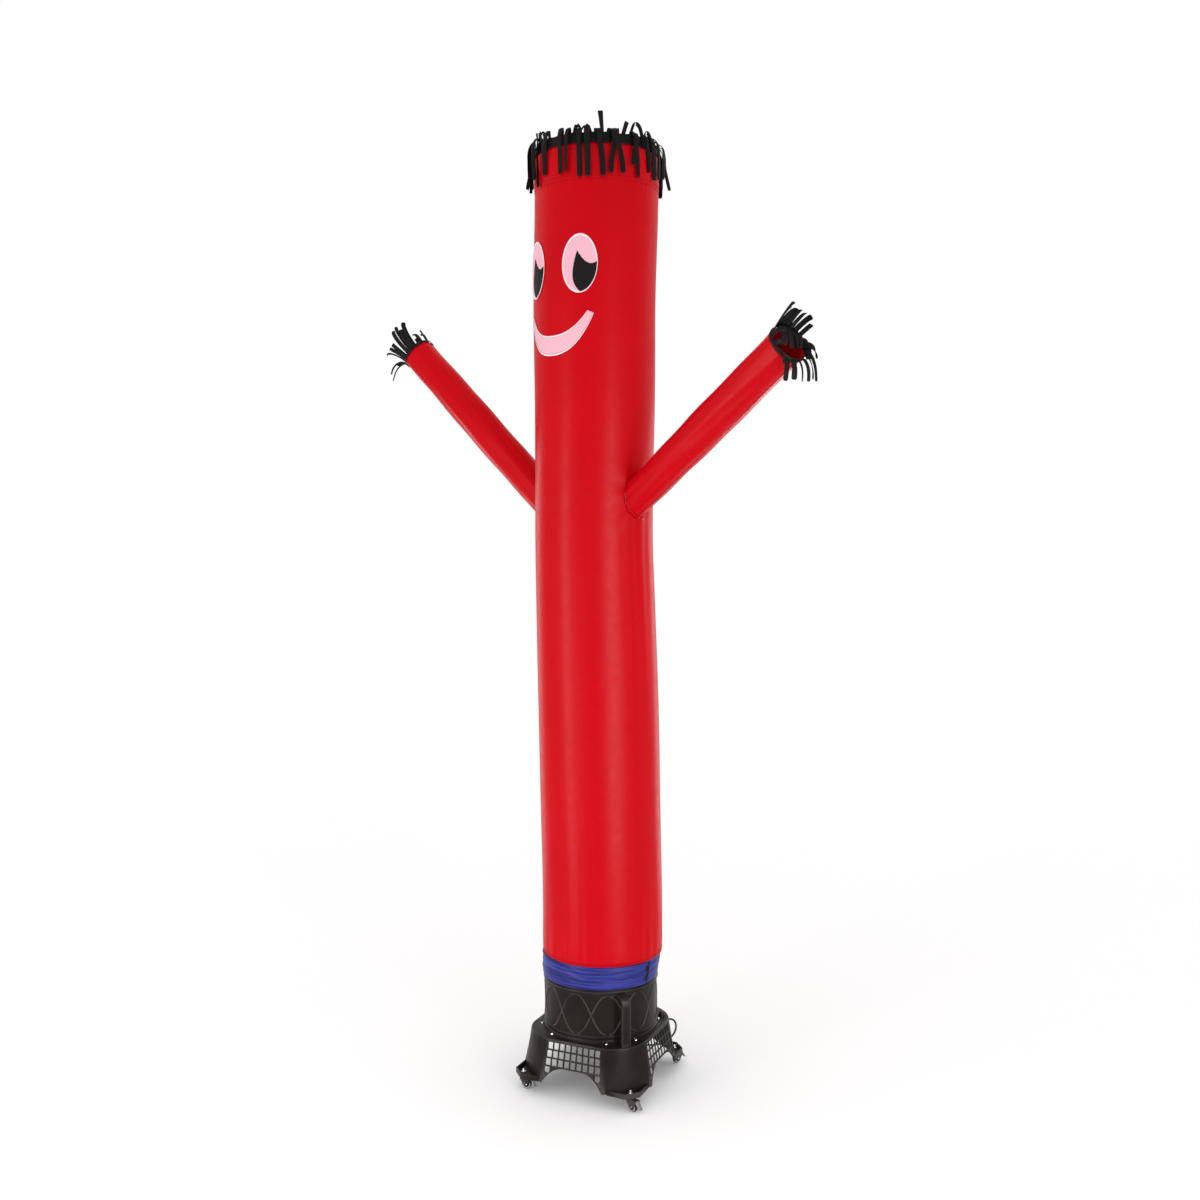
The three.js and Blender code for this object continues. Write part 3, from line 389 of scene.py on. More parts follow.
def rounded(piece, width, segments=2, angle=35, shade=35):
    """Piece with softened edges as one plain mesh, shaded by angle."""
    return shade_by_angle(bake(soften(piece, width, segments, angle)), shade)


def join_doubles(bm):
    """Merges doubled points and turns every face outwards."""
    bmesh.ops.remove_doubles(bm, verts=bm.verts, dist=SAME_SPOT)
    bmesh.ops.recalc_face_normals(bm, faces=bm.faces)


def outward(piece):
    with Editing(piece.data) as bm:
        join_doubles(bm)
    return piece


def weld(piece):
    """Joins the points that lie on each other, as in the middle of a ringed patch."""
    with Editing(piece.data) as bm:
        bmesh.ops.remove_doubles(bm, verts=bm.verts, dist=SAME_SPOT)
        bmesh.ops.dissolve_degenerate(bm, edges=bm.edges, dist=SAME_SPOT / 10)


def turned(name, profile, steps=64, place=None):
    """Turned piece about +Z from a closed or axis-to-axis profile of (radius, height) pairs."""
    mesh = bpy.data.meshes.new(name)
    with Editing(mesh, empty=True) as bm:
        spots = [bm.verts.new((radius, 0, height)) for radius, height in profile]
        edges = [bm.edges.new(pair) for pair in zip(spots[:-1], spots[1:])]
        bmesh.ops.spin(bm, geom=spots + edges, cent=(0, 0, 0), axis=(0, 0, 1), angle=math.tau,
                       steps=steps, use_merge=True)
        join_doubles(bm)
    if place is not None:
        mesh.transform(place)
    return shade_by_angle(link(name, mesh), 40)


def rod(name, radius, low, high, steps, place=None):
    """Plain cylinder about +Z, between two heights."""
    return turned(name, [(0, low), (radius, low), (radius, high), (0, high)], steps, place)


def extruded(name, outline, depth, place=None):
    """Solid with a flat outline of (x, y) pairs, extruded from z = 0 by depth."""
    count = len(outline)
    points = [(x, y, 0) for x, y in outline] + [(x, y, depth) for x, y in outline]
    faces = [tuple(range(count))[::-1], tuple(range(count, 2 * count))]
    faces += [(i, (i + 1) % count, (i + 1) % count + count, i + count) for i in range(count)]
    mesh = bpy.data.meshes.new(name)
    mesh.from_pydata(points, [], faces)
    if place is not None:
        mesh.transform(place)
    return outward(link(name, mesh))


def cut(piece, tool, operation="DIFFERENCE"):
    """Cuts one closed solid from another, or joins it to it; the tool is used up."""
    boolean = piece.modifiers.new("cut", "BOOLEAN")
    boolean.operation = operation
    boolean.solver = "EXACT"
    boolean.object = tool
    piece = bake(piece)
    bpy.data.objects.remove(tool)
    return piece


def merged(name, pieces):
    """One piece from several meshes, with all their materials."""
    mesh = bpy.data.meshes.new(name)
    with Editing(mesh, empty=True) as bm:
        for piece in pieces:
            slots = []
            for material in piece.data.materials:
                if material.name not in mesh.materials:
                    mesh.materials.append(material)
                slots.append(mesh.materials.find(material.name))
            start = len(bm.faces)
            bm.from_mesh(piece.data)
            bm.faces.ensure_lookup_table()
            for face in bm.faces[start:]:
                face.material_index = slots[face.material_index] if slots else 0
    for piece in pieces:
        bpy.data.objects.remove(piece)
    return link(name, mesh)


def shift(piece, offset=AXIS):
    piece.data.transform(moved(offset))
    return piece


def bezier(a, b, c, d, count):
    t = np.linspace(0, 1, count)[:, None]
    a, b, c, d = (np.array(p, float) for p in (a, b, c, d))
    return a * (1 - t) ** 3 + 3 * b * t * (1 - t) ** 2 + 3 * c * t * t * (1 - t) + d * t ** 3


def quadratic(a, b, c, count):
    a, b, c = (np.array(p, float) for p in (a, b, c))
    return bezier(a, a + (b - a) * 2 / 3, c + (b - c) * 2 / 3, c, count)


def quarter_circle(x, y, radius, start, count):
    """Places on a quarter of a circle, from an angle in degrees."""
    return [(x + radius * math.cos(math.radians(turn)), y + radius * math.sin(math.radians(turn)))
            for turn in np.linspace(start, start + 90, count)]


def frame_axes(x_axis, y_axis, z_axis, spot):
    matrix = Matrix.Identity(4)
    for column, axis in enumerate((x_axis, y_axis, z_axis, spot)):
        for row in range(3):
            matrix[row][column] = float(axis[row])
    return matrix


# ---- finishes ----


def fill(tree, made, inputs):
    """Sets a node's inputs, each to a value or to another node's output."""
    for key, value in inputs.items():
        if isinstance(value, bpy.types.NodeSocket):
            tree.links.new(value, made.inputs[key])
        else:
            made.inputs[key].default_value = value
    return made


def node(tree, kind, inputs=None, **settings):
    """New shader or geometry node."""
    made = tree.nodes.new(kind)
    for name, value in settings.items():
        setattr(made, name, value)
    return fill(tree, made, inputs or {})


def math_node(tree, operation, a, b=0.0):
    return node(tree, "ShaderNodeMath", {0: a, 1: b}, operation=operation).outputs[0]


def noise(tree, place, scale, detail=2.0, roughness=0.5):
    return node(tree, "ShaderNodeTexNoise", {
        "Vector": place, "Scale": scale, "Detail": detail, "Roughness": roughness,
    }).outputs[0]


def bump(tree, height, strength, distance, **onto):
    return node(tree, "ShaderNodeBump", {
        "Height": height, "Strength": strength, "Distance": distance, **onto,
    }).outputs[0]


def blank_material(name, specular=0.5, **values):
    """New material, with its node tree and its shader."""
    material = bpy.data.materials.new(name)
    material.use_nodes = True
    tree = material.node_tree
    shader = fill(tree, tree.nodes["Principled BSDF"], {"Specular IOR Level": specular, **values})
    return material, tree, shader


def object_place(tree):
    return node(tree, "ShaderNodeTexCoord").outputs["Object"]


def stretched(tree, place, scales):
    return node(tree, "ShaderNodeMapping", {0: place, 3: scales}).outputs[0]


def mix_colours(tree, share, *colours):
    first, second = (colour if isinstance(colour, bpy.types.NodeSocket) else (*colour, 1)
                     for colour in colours)
    return node(tree, "ShaderNodeMix", {0: share, 6: first, 7: second},
                data_type="RGBA").outputs[2]


def ramp(tree, value, low_stop, high_stop, low_out=0.0, high_out=1.0):
    return node(tree, "ShaderNodeMapRange", {
        0: value, 1: low_stop, 2: high_stop, 3: low_out, 4: high_out,
    }).outputs[0]


def woven(name, light, dark, roughness, thread=0.0011, crinkle=0.35, specular=0.1, painted_crease_shade=0.0):
    """Coated nylon: two tones, a plain weave that follows the cloth, and fine crinkles.

    The streaks are painted light and shade: paler and darker lines round cloth that is drawn in, as
    its creases catch light and fall into shade.
    """
    material, tree, shader = blank_material(name, specular)
    flat = node(tree, "ShaderNodeUVMap", uv_map="cloth").outputs[0]
    place = object_place(tree)
    fine = noise(tree, place, 42.0, 5.0, 0.62)
    if painted_crease_shade:
        # Painted light and shade: paler and darker streaks of the creases of drawn-in cloth.
        lines = noise(tree, stretched(tree, place, (5.0, 5.0, 170.0)), 1.0, 4.0, 0.65)
        share = ramp(tree, lines, 0.5 - 0.2 / painted_crease_shade, 0.5 + 0.2 / painted_crease_shade)
    else:
        share = ramp(tree, noise(tree, place, 3.1, 4.0), 0.35, 0.7)
    split = node(tree, "ShaderNodeSeparateXYZ", {0: flat})
    warp, weft = (math_node(tree, "SINE", math_node(tree, "MULTIPLY", way, math.tau / thread))
                  for way in split.outputs[:2])
    weave = bump(tree, math_node(tree, "MULTIPLY", warp, weft), 0.08, 0.0002)
    fill(tree, shader, {
        "Base Color": mix_colours(tree, share, light, dark),
        "Roughness": ramp(tree, fine, 0.3, 0.7, roughness - 0.05, roughness + 0.07),
        "Normal": bump(tree, fine, crinkle, 0.0012, Normal=weave),
    })
    return material


def moulded(name, colour, roughness, grain=900.0, depth=0.25, specular=0.35,
            painted_edge_highlight=(0.09, 0.08, 0.075)):
    """Moulded plastic: fine grain, patchy gloss and a painted highlight that makes its sharp outer
    edges paler in patches.
    """
    material, tree, shader = blank_material(name, specular)
    place = object_place(tree)
    patch = noise(tree, place, 9.0, 3.0)
    edges = node(tree, "ShaderNodeNewGeometry").outputs["Pointiness"]
    # Painted highlight: sharp outer edges, found by their pointiness, turn paler in patches.
    edge_highlight_share = math_node(tree, "MULTIPLY", ramp(tree, edges, 0.51, 0.56), ramp(tree, patch, 0.3, 0.7))
    base = mix_colours(tree, ramp(tree, patch, 0.35, 0.7), colour, tuple(c * 1.5 for c in colour))
    fill(tree, shader, {
        "Base Color": mix_colours(tree, edge_highlight_share, base, painted_edge_highlight),
        "Roughness": ramp(tree, patch, 0.3, 0.7, roughness - 0.05, roughness + 0.08),
        "Normal": bump(tree, noise(tree, place, grain), depth, 0.0003),
    })
    return material


def plated(name, colour, roughness):
    """Bright plated steel with faint brushing and a few dull spots."""
    material, tree, shader = blank_material(name, Metallic=1.0)
    place = object_place(tree)
    brushing = noise(tree, stretched(tree, place, (300.0, 300.0, 2500.0)), 1.0)
    spots = ramp(tree, noise(tree, place, 160.0, 3.0), 0.5, 0.75)
    fill(tree, shader, {
        "Base Color": mix_colours(tree, spots, colour, tuple(c * 0.6 for c in colour)),
        "Roughness": ramp(tree, brushing, 0.3, 0.7, roughness, roughness + 0.15),
    })
    return material


def twisted_thread(name, colour):
    """Sewing thread, paler and darker along its twist."""
    material, tree, shader = blank_material(name, 0.1, Roughness=0.75)
    twist = ramp(tree, noise(tree, object_place(tree), 1500.0, 1.0), 0.4, 0.6)
    fill(tree, shader, {
        "Base Color": mix_colours(tree, twist, colour, tuple(c * 0.55 for c in colour)),
    })
    return material


RED = woven("red_nylon", (0.58, 0.0004, 0.0062), (0.53, 0.0003, 0.0048), 0.38, specular=0.05)
# Its streaks are painted crease light and shade.
BLUE = woven("blue_nylon", (0.042, 0.050, 0.32), (0.012, 0.014, 0.13), 0.42, crinkle=0.6,
             specular=0.12, painted_crease_shade=2.2)
BLACK = woven("black_nylon", (0.0085, 0.0068, 0.0066), (0.005, 0.004, 0.004), 0.55, crinkle=0.6,
              specular=0.09)
PINK = woven("pink_nylon", (0.90, 0.50, 0.59), (0.86, 0.45, 0.54), 0.6)
BORDER = woven("white_border", (0.93, 0.82, 0.85), (0.90, 0.76, 0.80), 0.6, thread=0.0016)
HOOKS = woven("hook_tape", (0.010, 0.006, 0.016), (0.004, 0.003, 0.006), 0.7, thread=0.0018)
PLASTIC = moulded("blower_plastic", (0.0104, 0.0064, 0.0054), 0.40, specular=0.10)
CASTER_PLASTIC = moulded("caster_plastic", (0.0075, 0.006, 0.0058), 0.36, depth=0.12, specular=0.2)
TYRE = moulded("tyre", (0.010, 0.010, 0.010), 0.55, grain=2500, specular=0.2)
# The ring's sharp edges get a paler grey as a painted highlight.
PALE_RING = moulded("wheel_ring", (0.42, 0.42, 0.42), 0.4, depth=0.08, painted_edge_highlight=(0.5, 0.5, 0.5))
KNOB = moulded("knob_plastic", (0.045, 0.004, 0.005), 0.3, depth=0.05)
LEAD_RUBBER = moulded("lead_rubber", (0.009, 0.009, 0.009), 0.5, grain=1600, specular=0.2)
STEEL = plated("plated_steel", (0.72, 0.73, 0.75), 0.18)
DULL_STEEL = plated("dull_steel", (0.20, 0.19, 0.19), 0.34)
THREAD_GREY = twisted_thread("grey_thread", (0.36, 0.26, 0.29))
THREAD_RED = twisted_thread("red_thread", (0.36, 0.001, 0.004))
THREAD_BLUE = twisted_thread("blue_thread", (0.03, 0.03, 0.20))


def finish(piece, material, slot, *nodes, body=BODY_NAME):
    """Gives a piece its material and body, and hides the plain nodes that it stands for. The record
    slot is not used.
    """
    if material is not None and len(piece.data.materials) == 0:
        piece.data.materials.append(material)
    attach(piece, body)
    if nodes:
        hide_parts(*nodes)
    return piece


# ---- cloth surfaces ----


def table_curve(spots, values, where):
    """Smooth curve through a table's values, with even slopes at its stops."""
    spots, values = np.array(spots, float), np.array(values, float)
    slopes = np.gradient(values, spots)
    where = np.clip(where, spots[0], spots[-1])
    upper = np.clip(np.searchsorted(spots, where), 1, len(spots) - 1)
    span = spots[upper] - spots[upper - 1]
    t = (where - spots[upper - 1]) / span
    return ((2 * t ** 3 - 3 * t ** 2 + 1) * values[upper - 1]
            + (t ** 3 - 2 * t ** 2 + t) * span * slopes[upper - 1]
            + (3 * t ** 2 - 2 * t ** 3) * values[upper]
            + (t ** 3 - t ** 2) * span * slopes[upper])


def rows_at(rows, column, height):
    return table_curve([row[HEIGHT] for row in rows], [row[column] for row in rows], height)


def centre_line(rows, height):
    """Middle of a tube of cloth at a height, from the blower's axis."""
    return toward(SWAY_AZIMUTH, rows_at(rows, SWAY, height), height)


def vary(index, salt):
    """A settled number from 0 to 1 for the uneven cut and hang of the strips."""
    wave = np.sin(index * 12.9898 + salt * 78.233) * 43758.5453
    return wave - np.floor(wave)


BODY_LOW = BODY_ROWS[0][HEIGHT]
BODY_TOP, TOP_SWAY, TOP_RADIUS = BODY_ROWS[-1]
TOP_SEAM = 2.835  # where the crown's panel is sewn on
BACK_SEAM = FACE_AZIMUTH + 180  # the tube's one upright seam


def around_body(azimuth, other, radius=0.19):
    """Distance along the cloth from one azimuth to another."""
    return ((azimuth - other + 180) % 360 - 180) * math.pi / 180 * radius


def swell(azimuth, height):
    """How far the folds push the body's cloth out or in."""
    turn = rad(azimuth)
    up = height - BODY_LOW
    push = 0.0011 * np.sin(3 * turn + 1.3 + 0.9 * height) + 0.0008 * np.sin(5 * turn - 1.7 * height)
    push += 0.0005 * np.sin(11 * turn + 2.2 * np.sin(1.3 * height) + 0.7)
    push += 0.0007 * np.sin(6.1 * height + 2.0 * np.sin(turn + 0.8))
    push *= smooth(0.0, 0.12, up)
    wander = 1.7 * np.sin(2 * turn + 0.6) + 1.1 * np.sin(5 * turn)
    gathers = 0.5 + 0.5 * np.sin(30 * turn + wander)
    push += 0.0013 * gathers * np.exp(-up / 0.035)
    push += 0.0022 * np.sin(13 * turn + wander) ** 2 * np.exp(-up / 0.15) * smooth(0, 0.04, up)
    push += 0.0009 * np.sin(34 * turn + wander) * np.exp(-(BODY_TOP - height) / 0.03)
    for name, arm in ARMS.items():
        aside = around_body(azimuth, FACE_AZIMUTH + arm["root_swing"])
        above = height - arm["height"]
        reach = np.hypot(aside, above)
        bearing = np.arctan2(above, aside)
        fan = np.sin(9 * bearing + 1.4 * np.sin(2 * bearing + len(name)))
        push += 0.0021 * fan * np.exp(-np.abs(reach - 0.058) / 0.038) * smooth(0.03, 0.055, reach)
        droop = smooth(0.0, -0.12, above) * smooth(-0.75, -0.1, above)
        droop = np.exp(-(aside / 0.05) ** 2) * droop
        push += 0.0016 * np.sin(aside / 0.0085 + 2.5 * above) * droop
    from_seam = height - TOP_SEAM
    push += 0.0008 * np.exp(-((from_seam - 0.004) / 0.006) ** 2)
    push += 0.0007 * np.sin(58 * turn + 2 * wander) * np.exp(-np.abs(from_seam) / 0.014)
    from_back = around_body(azimuth, BACK_SEAM)
    push += 0.0009 * np.exp(-((from_back - 0.005) / 0.0065) ** 2)
    pucker = np.sin(height / 0.0052 + 3 * np.sin(9 * height))
    push += 0.0007 * pucker * np.exp(-np.abs(from_back) / 0.011)
    return push


def body_radius(azimuth, height):
    return rows_at(BODY_ROWS, RADIUS, height) + swell(azimuth, height)


def body_point(azimuth, height, out=0.0):
    """Place on the body's cloth, `out` outside its face."""
    azimuth, height = np.broadcast_arrays(np.asarray(azimuth, float), np.asarray(height, float))
    face = toward(azimuth, body_radius(azimuth, height) + out)
    return centre_line(BODY_ROWS, height) + face + AXIS


def body_height_gap(points):
    """How far outside the body's cloth the points lie."""
    local = points - AXIS
    height = local[..., 2]
    flat = local - centre_line(BODY_ROWS, height)
    azimuth = np.degrees(np.arctan2(flat[..., 0], -flat[..., 1]))
    return np.hypot(flat[..., 0], flat[..., 1]) - body_radius(azimuth, height)


def arm_axes(arm):
    """Where an arm starts on the body, and its three directions."""
    radius = rows_at(BODY_ROWS, RADIUS, arm["height"])
    root = toward(FACE_AZIMUTH + arm["root_swing"], radius)
    root = root + centre_line(BODY_ROWS, arm["height"]) + AXIS
    rise = rad(arm["rise"])
    along = toward(FACE_AZIMUTH + arm["swing"], np.cos(rise), np.sin(rise))
    across = np.cross(along, (0, 0, 1))
    across /= np.linalg.norm(across)
    return {"root": root, "along": along, "across": across, "over": np.cross(across, along)}


def arm_point(axes, distance, outward, turn):
    distance, outward, turn = np.broadcast_arrays(distance, outward, turn)
    cosine, sine = outward * np.cos(turn), outward * np.sin(turn)
    return (axes["root"] + distance[..., None] * axes["along"] + cosine[..., None] * axes["across"]
            + sine[..., None] * axes["over"])


def cloth_piece(name, points, along, across, around=True, thickness=CLOTH):
    """Cloth from a grid of points on its outer face, as one plain mesh."""
    piece = grid_object(name, points, along, across, around)
    add_thickness(piece, thickness)
    return bake(piece)


# ---- node trees ----


def geometry_tree(name, result, **kinds):
    """New Geometry Nodes tree and its inputs, which are given by name and kind."""
    tree = bpy.data.node_groups.new(name, "GeometryNodeTree")
    for key, kind in kinds.items():
        tree.interface.new_socket(key, in_out="INPUT", socket_type="NodeSocket" + kind)
    tree.interface.new_socket(result, in_out="OUTPUT", socket_type="NodeSocketGeometry")
    return tree, tree.nodes.new("NodeGroupInput").outputs


def close_tree(tree, shape, material):
    """Ends a tree: real geometry with its material, given out."""
    real = node(tree, "GeometryNodeRealizeInstances", {0: shape})
    coloured = node(tree, "GeometryNodeSetMaterial", {
        "Geometry": real.outputs[0], "Material": material,
    })
    node(tree, "NodeGroupOutput", {0: coloured.outputs[0]})
    return tree


def run_tree(name, tree, source, **values):
    """Applies a node tree to a curve or mesh and leaves one plain mesh."""
    piece = link(name, source)
    modifier = piece.modifiers.new("nodes", "NODES")
    modifier.node_group = tree
    for item in tree.interface.items_tree:
        if item.in_out == "INPUT" and item.name in values:
            modifier[item.identifier] = values[item.name]
    return bake(piece)


def stitch_tree():
    """Row of short threads along a line. Each lies along it, with a little unevenness."""
    tree, given = geometry_tree("stitch_row", "Stitches", Line="Geometry", Spacing="Float",
                                Length="Float", Thread="Float", Colour="Material")
    spots = node(tree, "GeometryNodeResampleCurve", {
        "Curve": given["Line"], "Length": given["Spacing"],
    }, mode="LENGTH")
    thread = node(tree, "GeometryNodeMeshCylinder", {
        "Vertices": 6, "Side Segments": 1, "Fill Segments": 1,
        "Radius": given["Thread"], "Depth": given["Length"],
    })
    tangent = node(tree, "GeometryNodeInputTangent")
    facing = node(tree, "FunctionNodeAlignRotationToVector", {"Vector": tangent.outputs[0]},
                  axis="Z")
    uneven = node(tree, "FunctionNodeRandomValue", {2: 0.88, 3: 1.08, "Seed": 7},
                  data_type="FLOAT")
    placed = node(tree, "GeometryNodeInstanceOnPoints", {
        "Points": spots.outputs[0], "Instance": thread.outputs["Mesh"],
        "Rotation": facing.outputs[0], "Scale": uneven.outputs[1],
    })
    return close_tree(tree, placed.outputs[0], given["Colour"])


STITCHES = stitch_tree()
THREAD_LIFT = 0.0003  # how far a thread's middle stands off its cloth


def stitch_rows(name, lines, material, slot, spacing=0.0042, length=0.0030, thread=0.00045):
    """Stitches along one or more lines of points, as one piece."""
    piece = run_tree(name, STITCHES, lines_data(name, lines), Spacing=spacing, Length=length,
                     Thread=thread, Colour=material)
    return finish(shade_by_angle(piece, 60), None, slot)


# ---- body tube ----
COLUMNS = 192
TUBE_ROWS = 200
CIRCUMFERENCE = 2 * math.pi * 0.192
azimuths = np.arange(COLUMNS) * 360 / COLUMNS + BACK_SEAM
heights = np.linspace(BODY_LOW, BODY_TOP, TUBE_ROWS)
ARM_HOLE = (0.0530, -0.09, 0.11)  # its radius, and how far it reaches in and out along the arm
tube = cloth_piece("body_tube", body_point(azimuths[None, :], heights[:, None]), heights,
                   np.linspace(0, CIRCUMFERENCE, COLUMNS + 1))
for side, arm in ARMS.items():
    axes = arm_axes(arm)
    place = frame_axes(axes["across"], axes["over"], -axes["along"], axes["root"])
    hole = rod("arm_hole", *ARM_HOLE, 48, place)
    tube = cut(outward(tube), outward(hole))
tube.data.shade_smooth()
finish(tube, RED, "red_cloth", "tube")
sheets = [(tube, (CIRCUMFERENCE, 2.52), "stretched", None, ["tube_stitches"])]

# ---- sleeves ----
SLEEVE_COLUMNS = 72
SLEEVE_ROWS = 110
SLEEVE_GIRTH = 2 * math.pi * 0.0556
ROOT_STITCHES, HEM_STITCHES = (0.006, 0.010), (0.004, 0.008)  # from the edges of the sleeve
SEAM_STITCHES = (-1.2, 3.4)  # degrees round from the back seam
LEVEL_STITCHES = (TOP_SEAM - 0.003, TOP_SEAM + 0.008, BODY_LOW + 0.006, BODY_LOW + 0.011)


def sleeve_radius(arm, distance, turn, side):
    """The sleeve's radius with its lengthwise creases and the puckers of its seam and hem."""
    share = np.clip(distance / arm["length"], 0, 1)
    radius = table_curve(*zip(*SLEEVE_RADIUS), share)
    wander = side + 1.6 * np.sin(3.1 * share + side)
    radius = radius + 0.0011 * np.sin(4 * turn + wander) + 0.0008 * np.sin(7 * turn - 2 * wander)
    radius += 0.0006 * np.sin(11 * turn + 9 * share + side)
    radius += 0.0007 * np.sin(distance / 0.031 + 2 * np.sin(turn + side))
    radius += 0.0013 * np.sin(15 * turn + wander) * np.exp(-np.maximum(distance, 0) / 0.045)
    radius += 0.0009 * np.sin(17 * turn) * np.exp(-(arm["length"] - distance) / 0.03)
    return radius


def sleeve_roots(arm, axes, turn, side, clear):
    """Distance along the arm at which the sleeve meets the body's cloth, for each turn."""
    near, far = np.full_like(turn, -0.13), np.full_like(turn, 0.10)
    for _ in range(32):
        middle = (near + far) / 2
        points = arm_point(axes, middle, sleeve_radius(arm, middle, turn, side), turn)
        outside = body_height_gap(points) > clear
        near, far = np.where(outside, near, middle), np.where(outside, middle, far)
    return (near + far) / 2


def sleeve_line(arm, axes, distance, turn, side, lift):
    """Line of places on the sleeve, a little outside its cloth."""
    return arm_point(axes, distance, sleeve_radius(arm, distance, turn, side) + lift, turn)


for number, (side, arm) in enumerate(ARMS.items()):
    axes = arm_axes(arm)
    turns = -np.arange(SLEEVE_COLUMNS) * 2 * np.pi / SLEEVE_COLUMNS
    roots = sleeve_roots(arm, axes, turns, number, 0.0009)
    shares = np.linspace(0, 1, SLEEVE_ROWS) ** 1.25
    distances = roots + (arm["length"] - roots) * shares[:, None]
    flare = 0.0024 * np.exp(-(distances - roots) / 0.0035)
    radii = sleeve_radius(arm, distances, turns, number) + flare
    points = arm_point(axes, distances, radii, turns[None, :])
    sleeve = cloth_piece(f"sleeve_{side}", points, shares * arm["length"],
                         np.linspace(0, SLEEVE_GIRTH, SLEEVE_COLUMNS + 1))
    finish(sleeve, RED, "red_cloth", f"arm_{side}")
    sheets.append((sleeve, (0.35, 0.75), "stretched", None, [f"sleeve_{side}_stitches"]))
    turns, roots = np.append(turns, turns[0]), np.append(roots, roots[0])
    lines = [sleeve_line(arm, axes, roots + step, turns, number, 0.0010) for step in ROOT_STITCHES]
    for step in HEM_STITCHES:
        hem = np.full_like(turns, arm["length"] - step)
        lines.append(sleeve_line(arm, axes, hem, turns, number, THREAD_LIFT))
    under = np.linspace(0.03, arm["length"] - 0.01, 160)
    for aside in (-0.04, 0.04):
        turn = np.full_like(under, -math.pi / 2 + aside)
        lines.append(sleeve_line(arm, axes, under, turn, number, THREAD_LIFT))
    stitch_rows(f"sleeve_{side}_stitches", lines, THREAD_RED, "red_cloth")

long_heights = np.linspace(BODY_LOW + 0.004, BODY_TOP - 0.004, 500)
round_azimuths = np.linspace(0, 360, 361)
seam_lines = [body_point(BACK_SEAM + aside, long_heights, THREAD_LIFT) for aside in SEAM_STITCHES]
for level in LEVEL_STITCHES:
    seam_lines.append(body_point(round_azimuths, level, THREAD_LIFT))
stitch_rows("tube_stitches", seam_lines, THREAD_RED, "red_cloth", spacing=0.0046)

# ---- fringes ----


def strip_grid(points, across, width, twist, cup, shape=(1.0, 1.0), samples=6, columns=5):
    """Ribbon of cloth along a smooth line: it twists, and is slightly hollow across.

    Shape is its width at each end, as a share, before its tip is rounded off a little.
    """
    line = curve_through(points, samples)
    tangent = np.gradient(line, axis=0)
    tangent /= np.linalg.norm(tangent, axis=1)[:, None]
    side = across - (tangent @ across)[:, None] * tangent
    side /= np.linalg.norm(side, axis=1)[:, None]
    normal = np.cross(tangent, side)
    share = np.linspace(0, 1, len(line))[:, None]
    angle = twist * share ** 0.8
    side, normal = (side * np.cos(angle) + normal * np.sin(angle),
                    normal * np.cos(angle) - side * np.sin(angle))
    offsets = np.linspace(-0.5, 0.5, columns)
    bend = (1 - (2 * offsets) ** 2) * cup
    tip = 1 - 0.25 * smooth(0.93, 1, share)
    widths = width * (shape[0] + (shape[1] - shape[0]) * share) * tip
    grid = line[:, None, :] + side[:, None, :] * (offsets[None] * widths)[:, :, None]
    return grid + normal[:, None, :] * (bend[None, :, None] * smooth(0, 0.3, share)[:, :, None])


def fringe_object(name, band, strips):
    """Heading band and its strips as one comb of cloth."""
    pieces = [band]
    for number, grid in enumerate(strips):
        steps_along = np.append(0, np.cumsum(np.linalg.norm(np.diff(grid[:, 2], axis=0), axis=1)))
        pieces.append(grid_object(f"{name}_{number}", grid, steps_along,
                                  np.linspace(0, STRIP_WIDTH, grid.shape[1])))
    for piece in pieces:
        piece.data.materials.append(BLACK)
    whole = merged(name, pieces)
    add_thickness(whole, 0.0009, 0.0)
    whole = bake(whole)
    whole.data.shade_smooth()
    return whole


HAIR_FLAT, HAND_FLAT = (1.2, 0.19), (0.35, 0.13)
REACH = TOP_RADIUS + GAP
crown_centre = toward(SWAY_AZIMUTH, TOP_SWAY, BODY_TOP) + AXIS
band_rows = [(-HAIR["below"], 0.0022), (0.0, 0.0012), (0.005, 0.0), (0.012, -0.001),
             (0.019, -0.002), (HAIR["above"], -0.003)]
band_azimuths = np.arange(144) * 2.5
band_grid = []
for above, out in band_rows:
    ripple = 0.0009 * np.sin(36 * rad(band_azimuths) + 1.5 * np.sin(5 * rad(band_azimuths)))
    ripple = ripple * smooth(0.0, 0.02, above)
    uneven = 0.0022 * np.sin(17 * rad(band_azimuths)) * np.sin(5 * rad(band_azimuths) + 1)
    clear = np.maximum(swell(band_azimuths, min(BODY_TOP + above, BODY_TOP)), 0) * (above < 0.001)
    band_grid.append(crown_centre + toward(band_azimuths, REACH + out + CLOTH + ripple + clear,
                                           above + uneven * smooth(0.005, 0.026, above)))
hair_band = grid_object("hair_band", np.array(band_grid), [row[0] for row in band_rows],
                        np.linspace(0, HAIR_FLAT[0], 145), around=True)
SEWN = REACH - 0.003 + CLOTH / 2 + 0.0006  # radius at which the strips leave the heading
TUCK = 0.012  # height at which a strip comes out of the heading


def hair_strip(azimuth, line, width, twist, cup=0.0014, shape=(1.0, 1.0)):
    """Strip along places given as out from the heading, up and aside."""
    points = [crown_centre + toward(azimuth, SEWN + out, up) + toward(azimuth + 90) * aside
              for out, up, aside in line]
    return strip_grid(points, toward(azimuth + 90), width, twist, cup, shape)


def hanging_strip(azimuth, bend, drop, lean, width, twist, out):
    return hair_strip(azimuth, [
        (0, TUCK, 0), (out * 0.3, bend, lean * 0.12), (out * 0.9 + 0.003, bend * 0.45, lean * 0.4),
        (out + 0.002, -drop * 0.3, lean * 0.75), (out * 0.92 + 0.002, -drop * 0.7, lean * 0.95),
        (out * 0.8 + 0.003, -drop, lean),
    ], width, twist)


